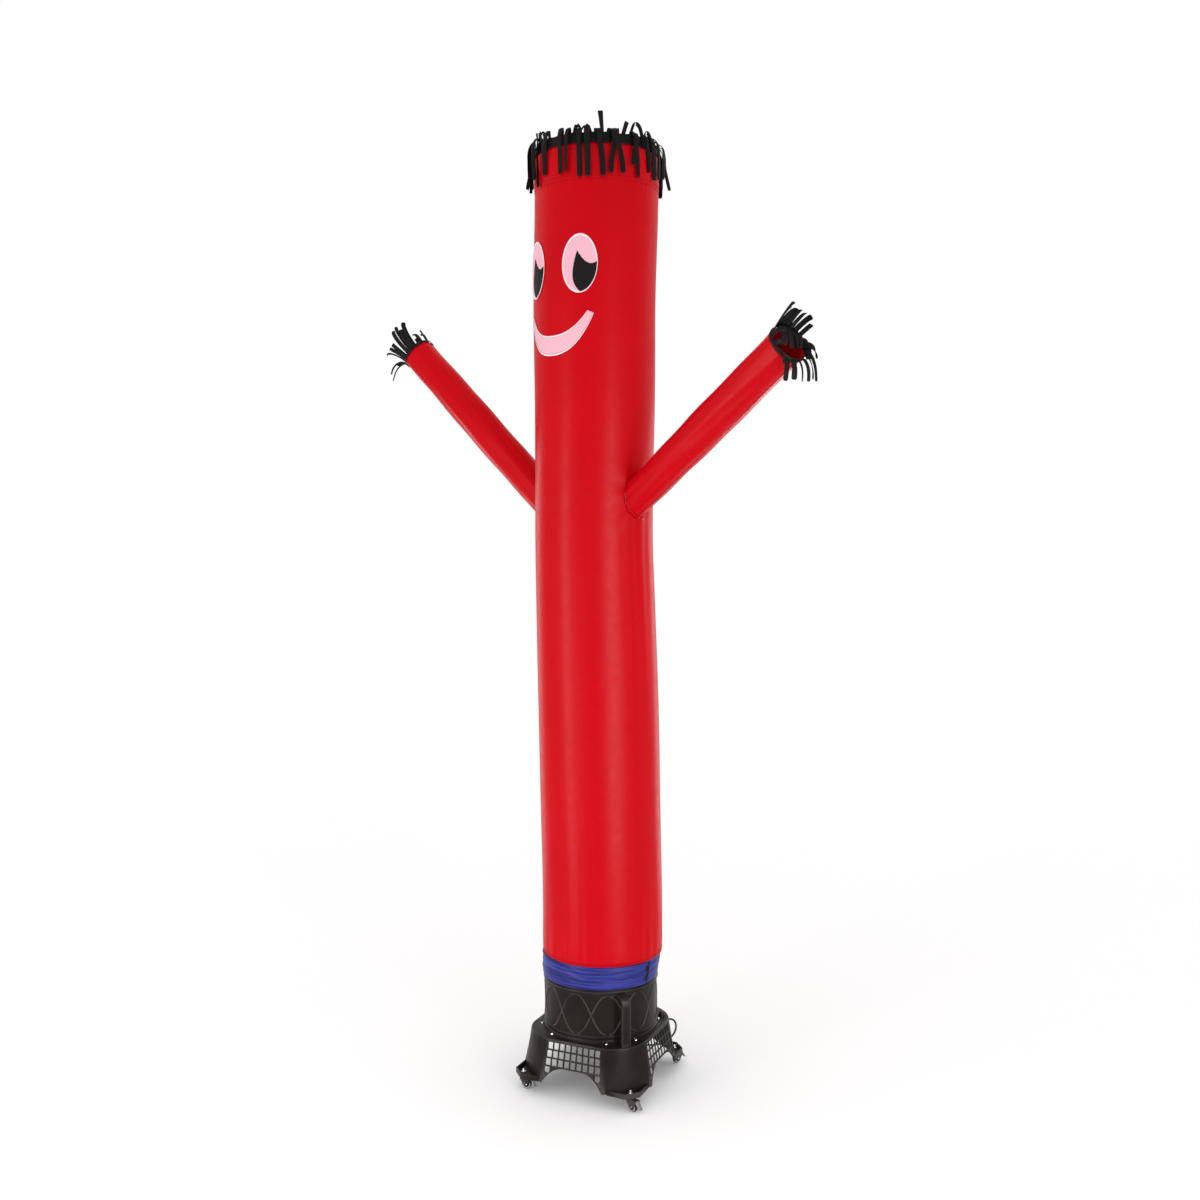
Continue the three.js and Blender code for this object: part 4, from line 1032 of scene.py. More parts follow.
hair_strips = [hanging_strip(*row) for row in HANGING]
for i in range(17):
    hair_strips.append(hanging_strip(
        117 + 10 * i + 3 * vary(i, 1), 0.032 + 0.012 * vary(i, 2), 0.092 + 0.024 * vary(i, 4),
        0.036 * (vary(i, 5) - 0.5), 0.0145 + 0.002 * vary(i, 7), 1.8 * (vary(i, 11) - 0.5),
        0.011 + 0.008 * vary(i, 3)))
for azimuth, line in SPLAYED:
    hair_strips.append(hair_strip(azimuth, line, 0.014, 0.9))
for azimuth, rise, lean, shape in STANDING:
    hair_strips.append(hair_strip(azimuth, [
        (0, TUCK, 0), (0.001, rise * 0.45, lean * 0.35), (0.004, rise * 0.8, lean * 0.75),
        (0.006, rise, lean),
    ], STRIP_WIDTH, 0.25, shape=shape))
for azimuth, rise, span in LOOPS:
    hair_strips.append(hair_strip(azimuth, [
        (0, TUCK, 0), (0.002, rise * 0.8, span * 0.25), (0.004, rise, span * 0.5),
        (0.006, rise * 0.82, span * 0.9), (0.007, 0.016, span * 1.15), (0.009, -0.012, span * 1.2),
    ], 0.011, 1.2))
hair = fringe_object("hair_fringe", hair_band, hair_strips)
finish(hair, None, "black_cloth", "hair")
sheets.append((hair, HAIR_FLAT, "hung", 0.16, []))

for number, (side, arm) in enumerate(ARMS.items()):
    axes = arm_axes(arm)
    wrist = SLEEVE_RADIUS[-1][1] + GAP
    turns = -np.arange(60) * 2 * np.pi / 60
    rows = [(-HAND["behind"], CLOTH + 0.0012), (0.001, CLOTH + 0.0008), (0.004, CLOTH - 0.0002),
            (HAND["beyond"], CLOTH - 0.002)]
    ripple = 0.0008 * np.sin(14 * turns)
    grid = np.array([arm_point(axes, arm["length"] + step, wrist + out + ripple, turns)
                     for step, out in rows])
    band = grid_object(f"hand_band_{side}", grid, [row[0] for row in rows],
                       np.linspace(0, HAND_FLAT[0], 61), around=True)
    strips = []
    share = np.linspace(0, 1, 6)
    for place, reach, rise, aside, width, twist in HAND_STRIPS[side]:
        turn = math.radians(place)
        forward = arm["length"] + 0.003 + (reach + 0.004) * (1 - (1 - share) ** 1.8)
        outward_by = wrist - 0.0016 + 0.009 * np.sin(share * math.pi * 0.75)
        points = arm_point(axes, forward, outward_by, np.full(6, turn))
        points += share[:, None] ** 1.6 * (np.array((0, 0, rise)) + axes["across"] * aside)
        flat = axes["over"] * math.cos(turn) - axes["across"] * math.sin(turn)
        strips.append(strip_grid(points, flat, width, twist, 0.0014))
    fringe = fringe_object(f"hand_fringe_of_{side}", band, strips)
    finish(fringe, None, "black_cloth", f"hand_fringe_{side}")
    sheets.append((fringe, HAND_FLAT, "hung", 0.029, []))

# ---- face ----


def on_body(outline, azimuth, height, out):
    """Lays flat (x, y) places, drawn as seen from outside, on the body's cloth."""
    outline = np.asarray(outline, float)
    heights = height + outline[..., 1]
    radius = rows_at(BODY_ROWS, RADIUS, heights)
    spread = np.degrees(np.arcsin(np.clip(outline[..., 0] / radius, -1, 1)))
    return body_point(azimuth + spread, heights, out)


def face_patch(name, grid, azimuth, height, layer, material, border=None, edge_rows=(),
               around=False):
    """Patch from a grid of flat places, with a raised and paler hem where edge_rows says so."""
    out = GAP + CLOTH + layer * (CLOTH + GAP)
    raised = np.zeros(grid.shape[0])
    raised[list(edge_rows)] = 0.0005
    points = on_body(grid, azimuth, height, out + raised[:, None])
    rows, columns = grid.shape[:2]
    faces = grid_faces(rows, columns, around)
    flat = grid.reshape(-1, 2)
    if np.cross(flat[faces[0][1]] - flat[faces[0][0]], flat[faces[0][2]] - flat[faces[0][0]]) < 0:
        faces = faces[:, ::-1]
    piece = mesh_object(name, points.reshape(-1, 3), faces, flat[faces].reshape(-1, 2))
    piece.data.materials.append(material)
    if border is not None:
        piece.data.materials.append(border)
        row_of = np.repeat(np.arange(rows - 1), len(faces) // (rows - 1))
        on_edge = np.isin(row_of, [row for row in edge_rows if row < rows - 1])
        piece.data.polygons.foreach_set("material_index", on_edge.astype(np.int32))
    weld(piece)
    add_thickness(piece, CLOTH - 0.0001)
    piece = bake(piece)
    piece.data.shade_smooth()
    return piece


def radial_grid(outline, centre, shares):
    """Rings from a centre out to a closed outline."""
    centre = np.asarray(centre, float)
    return np.array([centre + (outline - centre) * share for share in shares])


def ellipse(half_width, half_height, count):
    turn = np.arange(count) * 2 * math.pi / count
    return np.stack([half_width * np.cos(turn), half_height * np.sin(turn)], axis=-1)


def pupil_outline():
    """Lower right of the eye, with a round bite out of its top that leaves a spike."""
    w, h = EYE["half_width"], EYE["half_height"]
    sweep = np.linspace(-math.pi / 2 + 0.06, 0.06, 24)
    arc = np.stack([0.96 * w * np.cos(sweep), 0.96 * h * np.sin(sweep)], axis=-1)
    parts = [
        bezier((-0.13 * w, 0.42 * h), (-0.3 * w, 0.05 * h), (-0.5 * w, -0.45 * h),
               (-0.22 * w, -0.74 * h), 20)[:-1],
        quadratic((-0.22 * w, -0.74 * h), (-0.08 * w, -0.88 * h), (0.06 * w, -0.96 * h), 6)[:-1],
        arc,
        quadratic(arc[-1], (0.72 * w, -0.06 * h), (0.5 * w, 0), 8)[1:],
        quadratic((0.5 * w, 0), (0.22 * w, 0.06 * h), (-0.13 * w, 0.42 * h), 14)[1:-1],
    ]
    return np.vstack(parts)


def mouth_grid():
    """Rows from the smile's lower edge to its upper one."""
    w, sag, thickness = MOUTH["half_width"], MOUTH["sag"], MOUTH["thickness"]
    lower = bezier((-w, 0), (-0.72 * w, -0.9 * sag), (-0.36 * w, -1.04 * sag), (0, -1.04 * sag), 36)
    upper = bezier((-0.88 * w, 0.008), (-0.6 * w, -(sag - thickness) * 0.86),
                   (-0.3 * w, thickness - sag), (0, thickness - sag), 36)
    mirror = np.array((-1.0, 1.0))
    lower = np.vstack([lower, (lower * mirror)[-2::-1]])
    upper = np.vstack([upper, (upper * mirror)[-2::-1]])
    shares = np.array([0, 0.09, 0.2, 0.4, 0.6, 0.8, 0.91, 1.0])
    return lower[None] * (1 - shares[:, None, None]) + upper[None] * shares[:, None, None]


EYE_SHARES = np.array([0, 0.15, 0.3, 0.45, 0.6, 0.75, 0.88, 0.93, 1.0])
ON_PATCH = GAP + CLOTH + 0.0004  # how far a patch's threads stand off the body
PATCH_THREAD = {"spacing": 0.0032, "length": 0.0026, "thread": 0.0005}
for side, sign in (("right", 1), ("left", -1)):
    azimuth = FACE_AZIMUTH + sign * EYE["across"]
    outline = ellipse(EYE["half_width"], EYE["half_height"], 96)
    grid = radial_grid(outline, (0, 0), EYE_SHARES)
    white = face_patch(f"eye_{side}", grid, azimuth, EYE["height"], 0, PINK, BORDER, (7, 8), True)
    finish(white, None, "pink_cloth", f"eye_white_{side}")
    outline = pupil_outline()
    grid = radial_grid(outline, (0.22 * EYE["half_width"], -0.38 * EYE["half_height"]), EYE_SHARES)
    pupil = face_patch(f"pupil_{side}_cloth", grid, azimuth, EYE["height"], 1, BLACK, around=True)
    finish(pupil, None, "black_cloth", f"pupil_{side}")
    ring = ellipse(EYE["half_width"] * 0.925, EYE["half_height"] * 0.95, 97)
    lines = [on_body(np.vstack([ring, ring[:1]]), azimuth, EYE["height"], ON_PATCH)]
    stitch_rows(f"eye_{side}_stitches", lines, THREAD_GREY, "pink_cloth", **PATCH_THREAD)
    sheets.append((white, (0.110, 0.176), "laid", 0.0152, [f"eye_{side}_stitches"]))
    sheets.append((pupil, (0.082, 0.123), "laid", 0.0056, []))
grid = mouth_grid()
smile = face_patch("smile", grid, FACE_AZIMUTH, MOUTH["height"], 0, PINK, BORDER, (0, 6, 7))
finish(smile, None, "pink_cloth", "mouth")
lines = [on_body(grid[row], FACE_AZIMUTH, MOUTH["height"], ON_PATCH) for row in (1, 6)]
stitch_rows("smile_stitches", lines, THREAD_GREY, "pink_cloth", **PATCH_THREAD)
sheets.append((smile, (0.252, 0.131), "laid", 0.0140, ["smile_stitches"]))

# ---- collar ----


def collar_point(azimuth, height, out=0.0):
    """Place on the collar, whose creases run round it and only stand outwards."""
    azimuth, height = np.broadcast_arrays(np.asarray(azimuth, float), np.asarray(height, float))
    turn = rad(azimuth)
    free = smooth(0.354, 0.372, height) * smooth(0.436, 0.412, height)
    crease = np.sin(height / 0.0036 + 2.6 * np.sin(3 * turn + 0.4) + 1.3 * np.sin(7 * turn))
    crush = np.sin(9 * turn + height / 0.012) * np.sin(4 * turn - height / 0.02)
    push = 0.0015 * (0.5 + 0.5 * crease) * (0.55 + 0.45 * np.sin(5 * turn + 1)) * free
    push = push + 0.0006 * (1 + crush) * free
    face = toward(azimuth, rows_at(COLLAR_ROWS, RADIUS, height) + push + out)
    return centre_line(COLLAR_ROWS, height) + face + AXIS


def lap_offset(azimuth):
    """The lap lies close round the front, climbs over the hook strip and flares at its edge."""
    start, hook_top = HOOK["from"] - 14, 0.0019
    climb = smooth(start, HOOK["from"] - 2, azimuth)
    flare = smooth(HOOK["from"], LAP["to"], azimuth)
    return 0.001 + climb * (hook_top - GAP) + flare * (LAP["lift"] - hook_top)


collar_azimuths = np.arange(180) * 2.0
collar_heights = np.linspace(COLLAR_ROWS[0][HEIGHT], COLLAR_ROWS[-1][HEIGHT], 30)
COLLAR_FLAT, LAP_FLAT, HOOK_FLAT = (1.18, 0.085), (0.57, 0.071), (0.034, 0.065)
collar = cloth_piece("collar_band", collar_point(collar_azimuths[None], collar_heights[:, None]),
                     collar_heights, np.linspace(0, COLLAR_FLAT[0], 181))
finish(collar, BLUE, "blue_cloth", "collar")

lap_azimuths = np.linspace(LAP["from"], LAP["to"], 150)
lap_heights = np.linspace(LAP["low"], LAP["high"], 28)
grid_azimuth = lap_azimuths[None] + np.zeros((28, 1))
near_edge = smooth(LAP["to"] - 5, LAP["to"], lap_azimuths)[None]
ragged = 0.9 * np.sin(lap_heights / 0.0047 + 0.6) + 0.5 * np.sin(lap_heights / 0.0019 + 2)
grid_azimuth = grid_azimuth + near_edge * (ragged[:, None] - 3.3)
billow = 0.0006 * near_edge * (0.5 + 0.5 * np.sin(lap_heights / 0.0052 + 1)[:, None])
lap_points = collar_point(grid_azimuth, lap_heights[:, None],
                          CLOTH + lap_offset(grid_azimuth) + billow)
lap = cloth_piece("collar_lap_band", lap_points, lap_heights,
                  np.linspace(0, LAP_FLAT[0], len(lap_azimuths)), around=False)
finish(lap, BLUE, "blue_cloth", "collar_lap")
sewn = lap_azimuths[2:-14]
lap_lines = [collar_point(sewn, level, CLOTH + lap_offset(sewn) + THREAD_LIFT)
             for level in (LAP["low"] + 0.005, LAP["high"] - 0.005)]
stitch_rows("lap_stitches", lap_lines, THREAD_BLUE, "blue_cloth")

hook_azimuths = np.linspace(HOOK["from"], HOOK["to"], 24)
hook_heights = np.linspace(HOOK["low"], HOOK["high"], 40)
tape = collar_point(hook_azimuths[None], hook_heights[:, None], HOOK["thick"] + GAP)
hook_strip = cloth_piece("hook_tape_strip", tape, hook_heights, np.linspace(0, HOOK_FLAT[0], 24),
                         around=False, thickness=HOOK["thick"] - 0.0001)
finish(hook_strip, HOOKS, "black_cloth", "hook_strip")
sheets += [(collar, COLLAR_FLAT, "stretched", None, []),
           (lap, LAP_FLAT, "stretched", None, ["lap_stitches"]),
           (hook_strip, HOOK_FLAT, "laid", None, [])]

# ---- blower: duct ----
DRUM = {"radius": 0.182, "wall": 0.003, "floor": 0.1823, "rim": 0.348, "neck_top": 0.410,
        "neck_inset": 0.005, "flange": 0.002, "bead": 0.004}
CROSS_RIBS = {"panels": 11, "first": 15.2, "spread": 14.2, "middle": 0.2695, "half": 0.0605,
              "radius": 0.0030, "sunk": 0.0012}


def rib_tree():
    """Round ribs of one thickness along lines."""
    tree, given = geometry_tree("moulded_ribs", "Ribs", Lines="Geometry", Radius="Float",
                                Colour="Material")
    profile = node(tree, "GeometryNodeCurvePrimitiveCircle", {
        "Resolution": 10, "Radius": given["Radius"],
    })
    sweep = node(tree, "GeometryNodeCurveToMesh", {
        "Curve": given["Lines"], "Profile Curve": profile.outputs[0], "Fill Caps": True,
    })
    return close_tree(tree, sweep.outputs[0], given["Colour"])


def duct():
    """Turned drum with its flange, beads and neck, and the crossed ribs round it."""
    r, wall, floor, rim = (DRUM[key] for key in ("radius", "wall", "floor", "rim"))
    neck, flange, bead = r - DRUM["neck_inset"], DRUM["flange"], DRUM["bead"]
    profile = [
        (r - wall, floor), (r + flange, floor), (r + flange, floor + 0.007), (r, floor + 0.009),
        (r, 0.1970), (r + 0.0016, 0.1985), (r + 0.0016, 0.2030), (r, 0.2045),
        (r, rim - 0.0185), (r + 0.0012, rim - 0.0170), (r + 0.0012, rim - 0.0145),
        (r, rim - 0.0130),
        (r + bead - 0.0008, rim - 0.009), (r + bead, rim - 0.006), (r + bead - 0.0006, rim - 0.002),
        (r + 0.001, rim), (r + 0.001, rim + 0.012), (neck, rim + 0.020), (neck, DRUM["neck_top"]),
        (neck - wall, DRUM["neck_top"]), (neck - wall, rim), (r - wall, rim - 0.012),
        (r - wall, floor),
    ]
    shell = bake(soften(turned("duct_shell", profile, 144), 0.0006))
    share = np.linspace(-1, 1, 25)
    heights = CROSS_RIBS["middle"] + CROSS_RIBS["half"] * np.sin(share * math.pi / 2)
    lines = []
    for panel in range(CROSS_RIBS["panels"]):
        centre = CROSS_RIBS["first"] + 360 * panel / CROSS_RIBS["panels"]
        lines += [toward(centre + lean * CROSS_RIBS["spread"] * share, r - CROSS_RIBS["sunk"],
                         heights) for lean in (-1, 1)]
    ribs = run_tree("duct_ribs", rib_tree(), lines_data("duct_ribs", lines),
                    Radius=CROSS_RIBS["radius"], Colour=PLASTIC)
    shell.data.materials.append(PLASTIC)
    whole = shift(merged("duct", [shell, ribs]))
    return shade_by_angle(whole, 40)


finish(duct(), None, "blower_plastic", "drum")
# The inlet guard's plain shape is already right, so that it only gets a better material.
for material_slot in bpy.context.scene.objects["inlet_guard"].material_slots:
    material_slot.material = PLASTIC

# ---- blower: handles ----
HANDLE = {"azimuth": 45, "reach": 0.223, "width": 0.030, "thick": 0.014, "low": 0.1823,
          "high": 0.337}


def handle(name, azimuth):
    """Upright grip that bends in to the duct at its top, with two grooves down its face."""
    near = DRUM["radius"] * math.cos(math.pi / 36) + GAP
    outer, inner = (HANDLE["reach"] + side * HANDLE["thick"] / 2 for side in (1, -1))
    low, high, width = HANDLE["low"], HANDLE["high"], HANDLE["width"]
    outline = [(inner, low), (outer, low), (outer, high - 0.022)]
    outline += [tuple(p) for p in quadratic((outer, high - 0.022), (outer, high),
                                            (outer - 0.024, high), 10)[1:]]
    outline += [(near, high - 0.002), (near, high - 0.016), (inner - 0.010, high - 0.014)]
    outline += [tuple(p) for p in quadratic((inner - 0.010, high - 0.014), (inner, high - 0.015),
                                            (inner, high - 0.026), 8)[1:]]
    place = frame_axes(toward(azimuth), (0, 0, 1), toward(azimuth - 90),
                       -toward(azimuth - 90) * width / 2)
    grip = bake(soften(extruded(name, outline, width, place), 0.0034, 4, 40))
    for aside in (-0.0045, 0.0045):
        spot = toward(azimuth, outer + 0.0010) + toward(azimuth + 90, aside)
        groove = turned("groove", [(0, low + 0.02), (0.0016, low + 0.022), (0.0016, high - 0.035),
                                   (0, high - 0.033)], 10, moved(spot))
        grip = cut(grip, groove)
    return shift(shade_by_angle(grip, 32))


for end, turn in (("front", 0), ("back", 180)):
    finish(handle(f"carrying_handle_{end}", HANDLE["azimuth"] + turn), PLASTIC, "blower_plastic",
           f"handle_{end}")

# ---- blower: moulded foot ----
FOOT = {"low": 0.048, "shoulder": 0.176, "top": 0.182, "wall": 0.003, "inset": 0.005}
FACE_HALF = {"low": 0.105, "high": 0.093}
SIDE_REACH = {"low": 0.225, "high": 0.199}
CORNER_REACH = {"low": 0.245, "high": 0.231}
ARCH = {"half": 0.104, "bend": 0.072, "flat": 0.030, "apex": 0.099}
WINDOW = {"edge": 0.002, "top": 0.176, "low": 0.066, "middle": 0.060}
GRILLE = {"columns": 9, "rows": 3, "pitch_x": 0.020, "pitch_y": 0.0246, "hole_x": 0.015,
          "hole_y": 0.020, "top": 0.1725}
SHELF = {"low": 0.044, "floor": 0.050, "rim": 0.060, "near": 0.110, "far": 0.216,
         "chamfer": 0.182, "lip": 0.006}


def foot_size(reach, height):
    """The foot's sides slope evenly from its lower edge to its shoulder."""
    share = min(1, (height - FOOT["low"]) / (FOOT["shoulder"] - FOOT["low"]))
    return reach["low"] + (reach["high"] - reach["low"]) * share


def corner_arc(height, inset=0.0):
    """Centre's reach, radius and half sweep of the arc between two side faces."""
    half, side, corner = (foot_size(reach, height) for reach in (FACE_HALF, SIDE_REACH,
                                                                 CORNER_REACH))
    side, corner = side - inset, corner - inset
    middle, half_chord = (half + side) / math.sqrt(2), (side - half) / math.sqrt(2)
    rise = corner - middle
    radius = (half_chord ** 2 + rise ** 2) / (2 * rise)
    return corner - radius, radius, math.degrees(math.asin(half_chord / radius))


def foot_ring(height, inset, steps=16):
    """Level outline of the foot: an arc at each corner, and straight sides between them."""
    centre, radius, sweep = corner_arc(height, inset)
    spread = np.linspace(-sweep, sweep, steps + 1)
    return np.vstack([toward(turn + 45, centre, height) + toward(turn + 45 + spread, radius)
                      for turn in (0, 90, 180, 270)])


def lofted(name, rings):
    """Closed solid through rings of equally many points, with flat ends."""
    count = len(rings[0])
    faces = [tuple(face) for face in grid_faces(len(rings), count, True)]
    faces += [tuple(range(count))[::-1], tuple(range((len(rings) - 1) * count, len(rings) * count))]
    return outward(mesh_object(name, np.vstack(rings), faces, smooth=False))


def foot_volume(name, inset, low, top):
    """The foot's solid shape, moved in by an inset, with a rounded shoulder."""
    shoulder = FOOT["shoulder"] - inset
    rings = [foot_ring(height, inset) for height in np.linspace(low, shoulder, 5)]
    for turn in np.linspace(0, math.pi / 2, 6)[1:]:
        rings.append(foot_ring(shoulder + (top - shoulder) * math.sin(turn),
                               inset + FOOT["inset"] * (1 - math.cos(turn))))
    return lofted(name, rings)


def through_face(name, outline, quarter, depth=0.14):
    """Prism through one of the four side faces, from a flat (x, z) outline."""
    out = toward(quarter * 90)
    place = frame_axes(toward(quarter * 90 + 90), (0, 0, 1), out, out * 0.12)
    return extruded(name, outline, depth, place)


def arch_outline():
    """Opening under a side face, in (x, z)."""
    half, bend, flat, apex = (ARCH[key] for key in ("half", "bend", "flat", "apex"))
    right = [tuple(p) for p in quadratic((half, FOOT["low"]), (bend, apex), (flat, apex), 22)]
    left = [(-x, z) for x, z in right[::-1]]
    return [(half, -0.001)] + right + left + [(-half, -0.001)]


def window_outline(grow):
    """Opening that a grille fills, in (x, z), larger all round by grow."""
    top_half, low_half = (foot_size(FACE_HALF, WINDOW[key]) - WINDOW["edge"] + grow
                          for key in ("top", "low"))
    low, middle = WINDOW["low"] - grow, WINDOW["middle"]
    right = [(middle, 0), (middle, low), (low_half, low), (top_half, WINDOW["top"] + grow)]
    return right + [(-x, z) for x, z in right[::-1]]


def shelf(azimuth):
    """Caster's shelf on a corner: a plate with a double-stepped rim round its recess."""
    def outline(inset):
        edge, chamfer = SHELF["far"] - inset, SHELF["chamfer"] - inset * 0.42
        start = SHELF["near"] + inset
        return [(start, start), (edge, start), (edge, chamfer), (chamfer, edge), (start, edge)]

    def block(inset, low, high):
        return extruded("shelf", outline(inset), high - low,
                        spun(azimuth - 135) @ moved((0, 0, low)))

    plate = block(0, SHELF["low"], SHELF["rim"])
    plate = cut(plate, block(SHELF["lip"], SHELF["floor"], SHELF["rim"] + 0.01))
    return cut(plate, block(SHELF["lip"] * 0.5, SHELF["rim"] - 0.0022, SHELF["rim"] + 0.01))


def foot():
    """Hollow foot with its bore, four arches, four windows and four shelves."""
    shell = foot_volume("moulded_foot", 0, FOOT["low"], FOOT["top"])
    inside_top = FOOT["top"] - FOOT["wall"]
    shell = cut(shell, foot_volume("inside", FOOT["wall"], FOOT["low"] - 0.001, inside_top))
    bore = DRUM["radius"] - DRUM["wall"] - 0.006
    shell = cut(shell, rod("bore", bore, 0.16, 0.2, 96))
    for quarter in range(4):
        shell = cut(shell, through_face("arch", arch_outline(), quarter))
        shell = cut(shell, through_face("window", window_outline(0), quarter))
    for azimuth in (45, 135, 225, 315):
        inside = foot_volume("inside", FOOT["wall"] * 0.6, SHELF["low"] - 0.01, inside_top)
        shell = cut(shell, cut(shelf(azimuth), inside), "UNION")
    return shell


def rounded_hole(half_x, low, high, corner, low_corner):
    """Outline of an upright rounded oblong round x = 0."""
    points = []
    for x, z, radius, start in ((half_x, low, low_corner, -90), (half_x, high, corner, 0),
                                (-half_x, high, corner, 90), (-half_x, low, low_corner, 180)):
        points += quarter_circle(x - math.copysign(radius, x),
                                 z + (radius if z == low else -radius), radius, start, 5)
    return points


def grille():
    """Grille of the front face: upright columns of holes that spread with the face's flare."""
    inside = foot_volume("inside", FOOT["wall"], FOOT["low"] - 0.001, FOOT["top"] + 0.001)
    panel = cut(foot_volume("grille", 0, FOOT["low"], FOOT["top"]), inside)
    panel = cut(panel, through_face("window", window_outline(-GAP), 0), "INTERSECT")
    panel = cut(panel, through_face("arch", arch_outline(), 0))
    holes = []
    for column in range(GRILLE["columns"]):
        x = (column - (GRILLE["columns"] - 1) / 2) * GRILLE["pitch_x"]
        at_end = column in (0, GRILLE["columns"] - 1)
        for row in range(GRILLE["rows"] + at_end):
            last = row == GRILLE["rows"]
            high = GRILLE["hole_y"] - 0.002 * last
            middle = GRILLE["top"] - high / 2 - row * GRILLE["pitch_y"]
            spread = foot_size(FACE_HALF, middle) / FACE_HALF["high"]
            outline = rounded_hole(GRILLE["hole_x"] * spread / 2, middle - high / 2,
                                   middle + high / 2, 0.0016, 0.0055 if last else 0.0016)
            outline = [(x * spread + px, z) for px, z in outline]
            holes.append(through_face("hole", outline, 0))
    return cut(panel, merged("holes", holes))


foot_piece = rounded(foot(), 0.0009, angle=30, shade=18)
finish(shift(foot_piece), PLASTIC, "blower_plastic", "foot")

front_grille = grille()
for quarter, side in enumerate(("front", "right", "back", "left")):
    panel = link(f"air_grille_{side}", front_grille.data.copy())
    panel.data.transform(spun(90 * quarter))
    panel = rounded(panel, 0.0006, angle=30, shade=32)
    finish(shift(panel), PLASTIC, "blower_plastic", f"grille_{side}")
bpy.data.objects.remove(front_grille)

# ---- blower: screws and switch ----
SCREW = {"ring": 0.190, "spread": 15, "radius": 0.0044, "edge": 0.001, "crest": 0.0036,
         "slot": 0.0022, "slot_half": 0.0006, "slot_deep": 0.0013}
SWITCH = {"azimuth": 127, "ring": 0.206, "radius": 0.012, "high": 0.009, "knob": 0.0068,
          "knob_high": 0.008}


def screw_tree():
    """One finished screw on each given point, each turned its own way."""
    tree, given = geometry_tree("flange_screws", "Screws", Spots="Geometry", Screw="Object",
                                Seed="Int", Metal="Material")
    info = node(tree, "GeometryNodeObjectInfo", {"Object": given["Screw"]})
    turn = node(tree, "FunctionNodeRandomValue", {3: math.tau, "Seed": given["Seed"]},
                data_type="FLOAT")
    about = node(tree, "ShaderNodeCombineXYZ", {2: turn.outputs[1]})
    placed = node(tree, "GeometryNodeInstanceOnPoints", {
        "Points": given["Spots"], "Instance": info.outputs["Geometry"],
        "Rotation": about.outputs[0],
    })
    return close_tree(tree, placed.outputs[0], given["Metal"])


def domed(name, radius, edge, crest, steps=24, place=None):
    """Turned head with a short upright edge and a round top."""
    profile = [(0, 0), (radius, 0), (radius, edge)]
    for turn in np.linspace(0, math.pi / 2, 8)[1:]:
        profile.append((radius * math.cos(turn), edge + (crest - edge) * math.sin(turn)))
    profile[-1] = (0, crest)
    return turned(name, profile, steps, place)


screw = domed("screw", SCREW["radius"], SCREW["edge"], SCREW["crest"])
for x, y in ((SCREW["slot"], SCREW["slot_half"]), (SCREW["slot_half"], SCREW["slot"])):
    screw = cut(screw, extruded("slot", [(-x, -y), (x, -y), (x, y), (-x, y)], 0.004,
                                moved((0, 0, SCREW["crest"] - SCREW["slot_deep"]))))
shade_by_angle(screw, 35)
spots = bpy.data.meshes.new("screw_spots")
spots.from_pydata([
    tuple(AXIS + toward(45 + 90 * corner + side * SCREW["spread"], SCREW["ring"],
                        FOOT["top"] + GAP))
    for corner in range(4) for side in (-1, 1)
], [], [])
screws = run_tree("flange_screws", screw_tree(), spots, Screw=screw, Seed=4, Metal=STEEL)
bpy.data.objects.remove(screw)
finish(shade_by_angle(screws), None, "steel",
       *[f"flange_screw_{number}" for number in range(1, 9)])

switch_spot = AXIS + toward(SWITCH["azimuth"], SWITCH["ring"], FOOT["top"] + GAP)
switch_place = moved(switch_spot)
r, high = SWITCH["radius"], SWITCH["high"]
housing = turned("switch_base", [(0, 0), (r, 0), (r, 0.002), (r - 0.0008, 0.0026),
                                 (r - 0.0014, high - 0.002), (r - 0.0026, high), (0, high)], 48,
                 switch_place)
finish(rounded(housing, 0.0004, angle=32), PLASTIC, "blower_plastic", "switch_housing")
knob_place = switch_place @ moved((0, 0, high + GAP))
knob = domed("switch_button", SWITCH["knob"], SWITCH["knob_high"] - 0.0022, SWITCH["knob_high"],
             36, knob_place)
for turn in range(12):
    out = toward(turn * 30, SWITCH["knob"] + 0.0004)
    flute = turned("flute", [(0, -0.001), (0.0009, -0.001), (0.0009, 0.0052), (0, 0.0060)], 8,
                   knob_place @ moved(out))
    knob = cut(knob, flute)
finish(shade_by_angle(knob), KNOB, "knob", "switch_knob")

# ---- casters ----
# In a caster's own frame X is the way it trails, Y is its axle's direction and Z is up.
CASTER = {"reach": 0.186, "trail": 0.011, "wheel": 0.0155, "width": 0.014, "pin": 0.0023,
          "crown": 0.016, "neck": 0.011, "cheek": 0.0082, "sheet": 0.0022}
CORNERS = {  # which way along X and Y from the axis, and the heading in which the caster trails
    "front_right": (1, -1, 70), "front_left": (-1, -1, 97), "back_right": (1, 1, 155),
    "back_left": (-1, 1, 130),
}
ALONG_Y = Matrix.Rotation(math.pi / 2, 4, "X")  # turns a piece's Z to -Y
AT_HUB = moved((CASTER["trail"], 0, CASTER["wheel"])) @ ALONG_Y


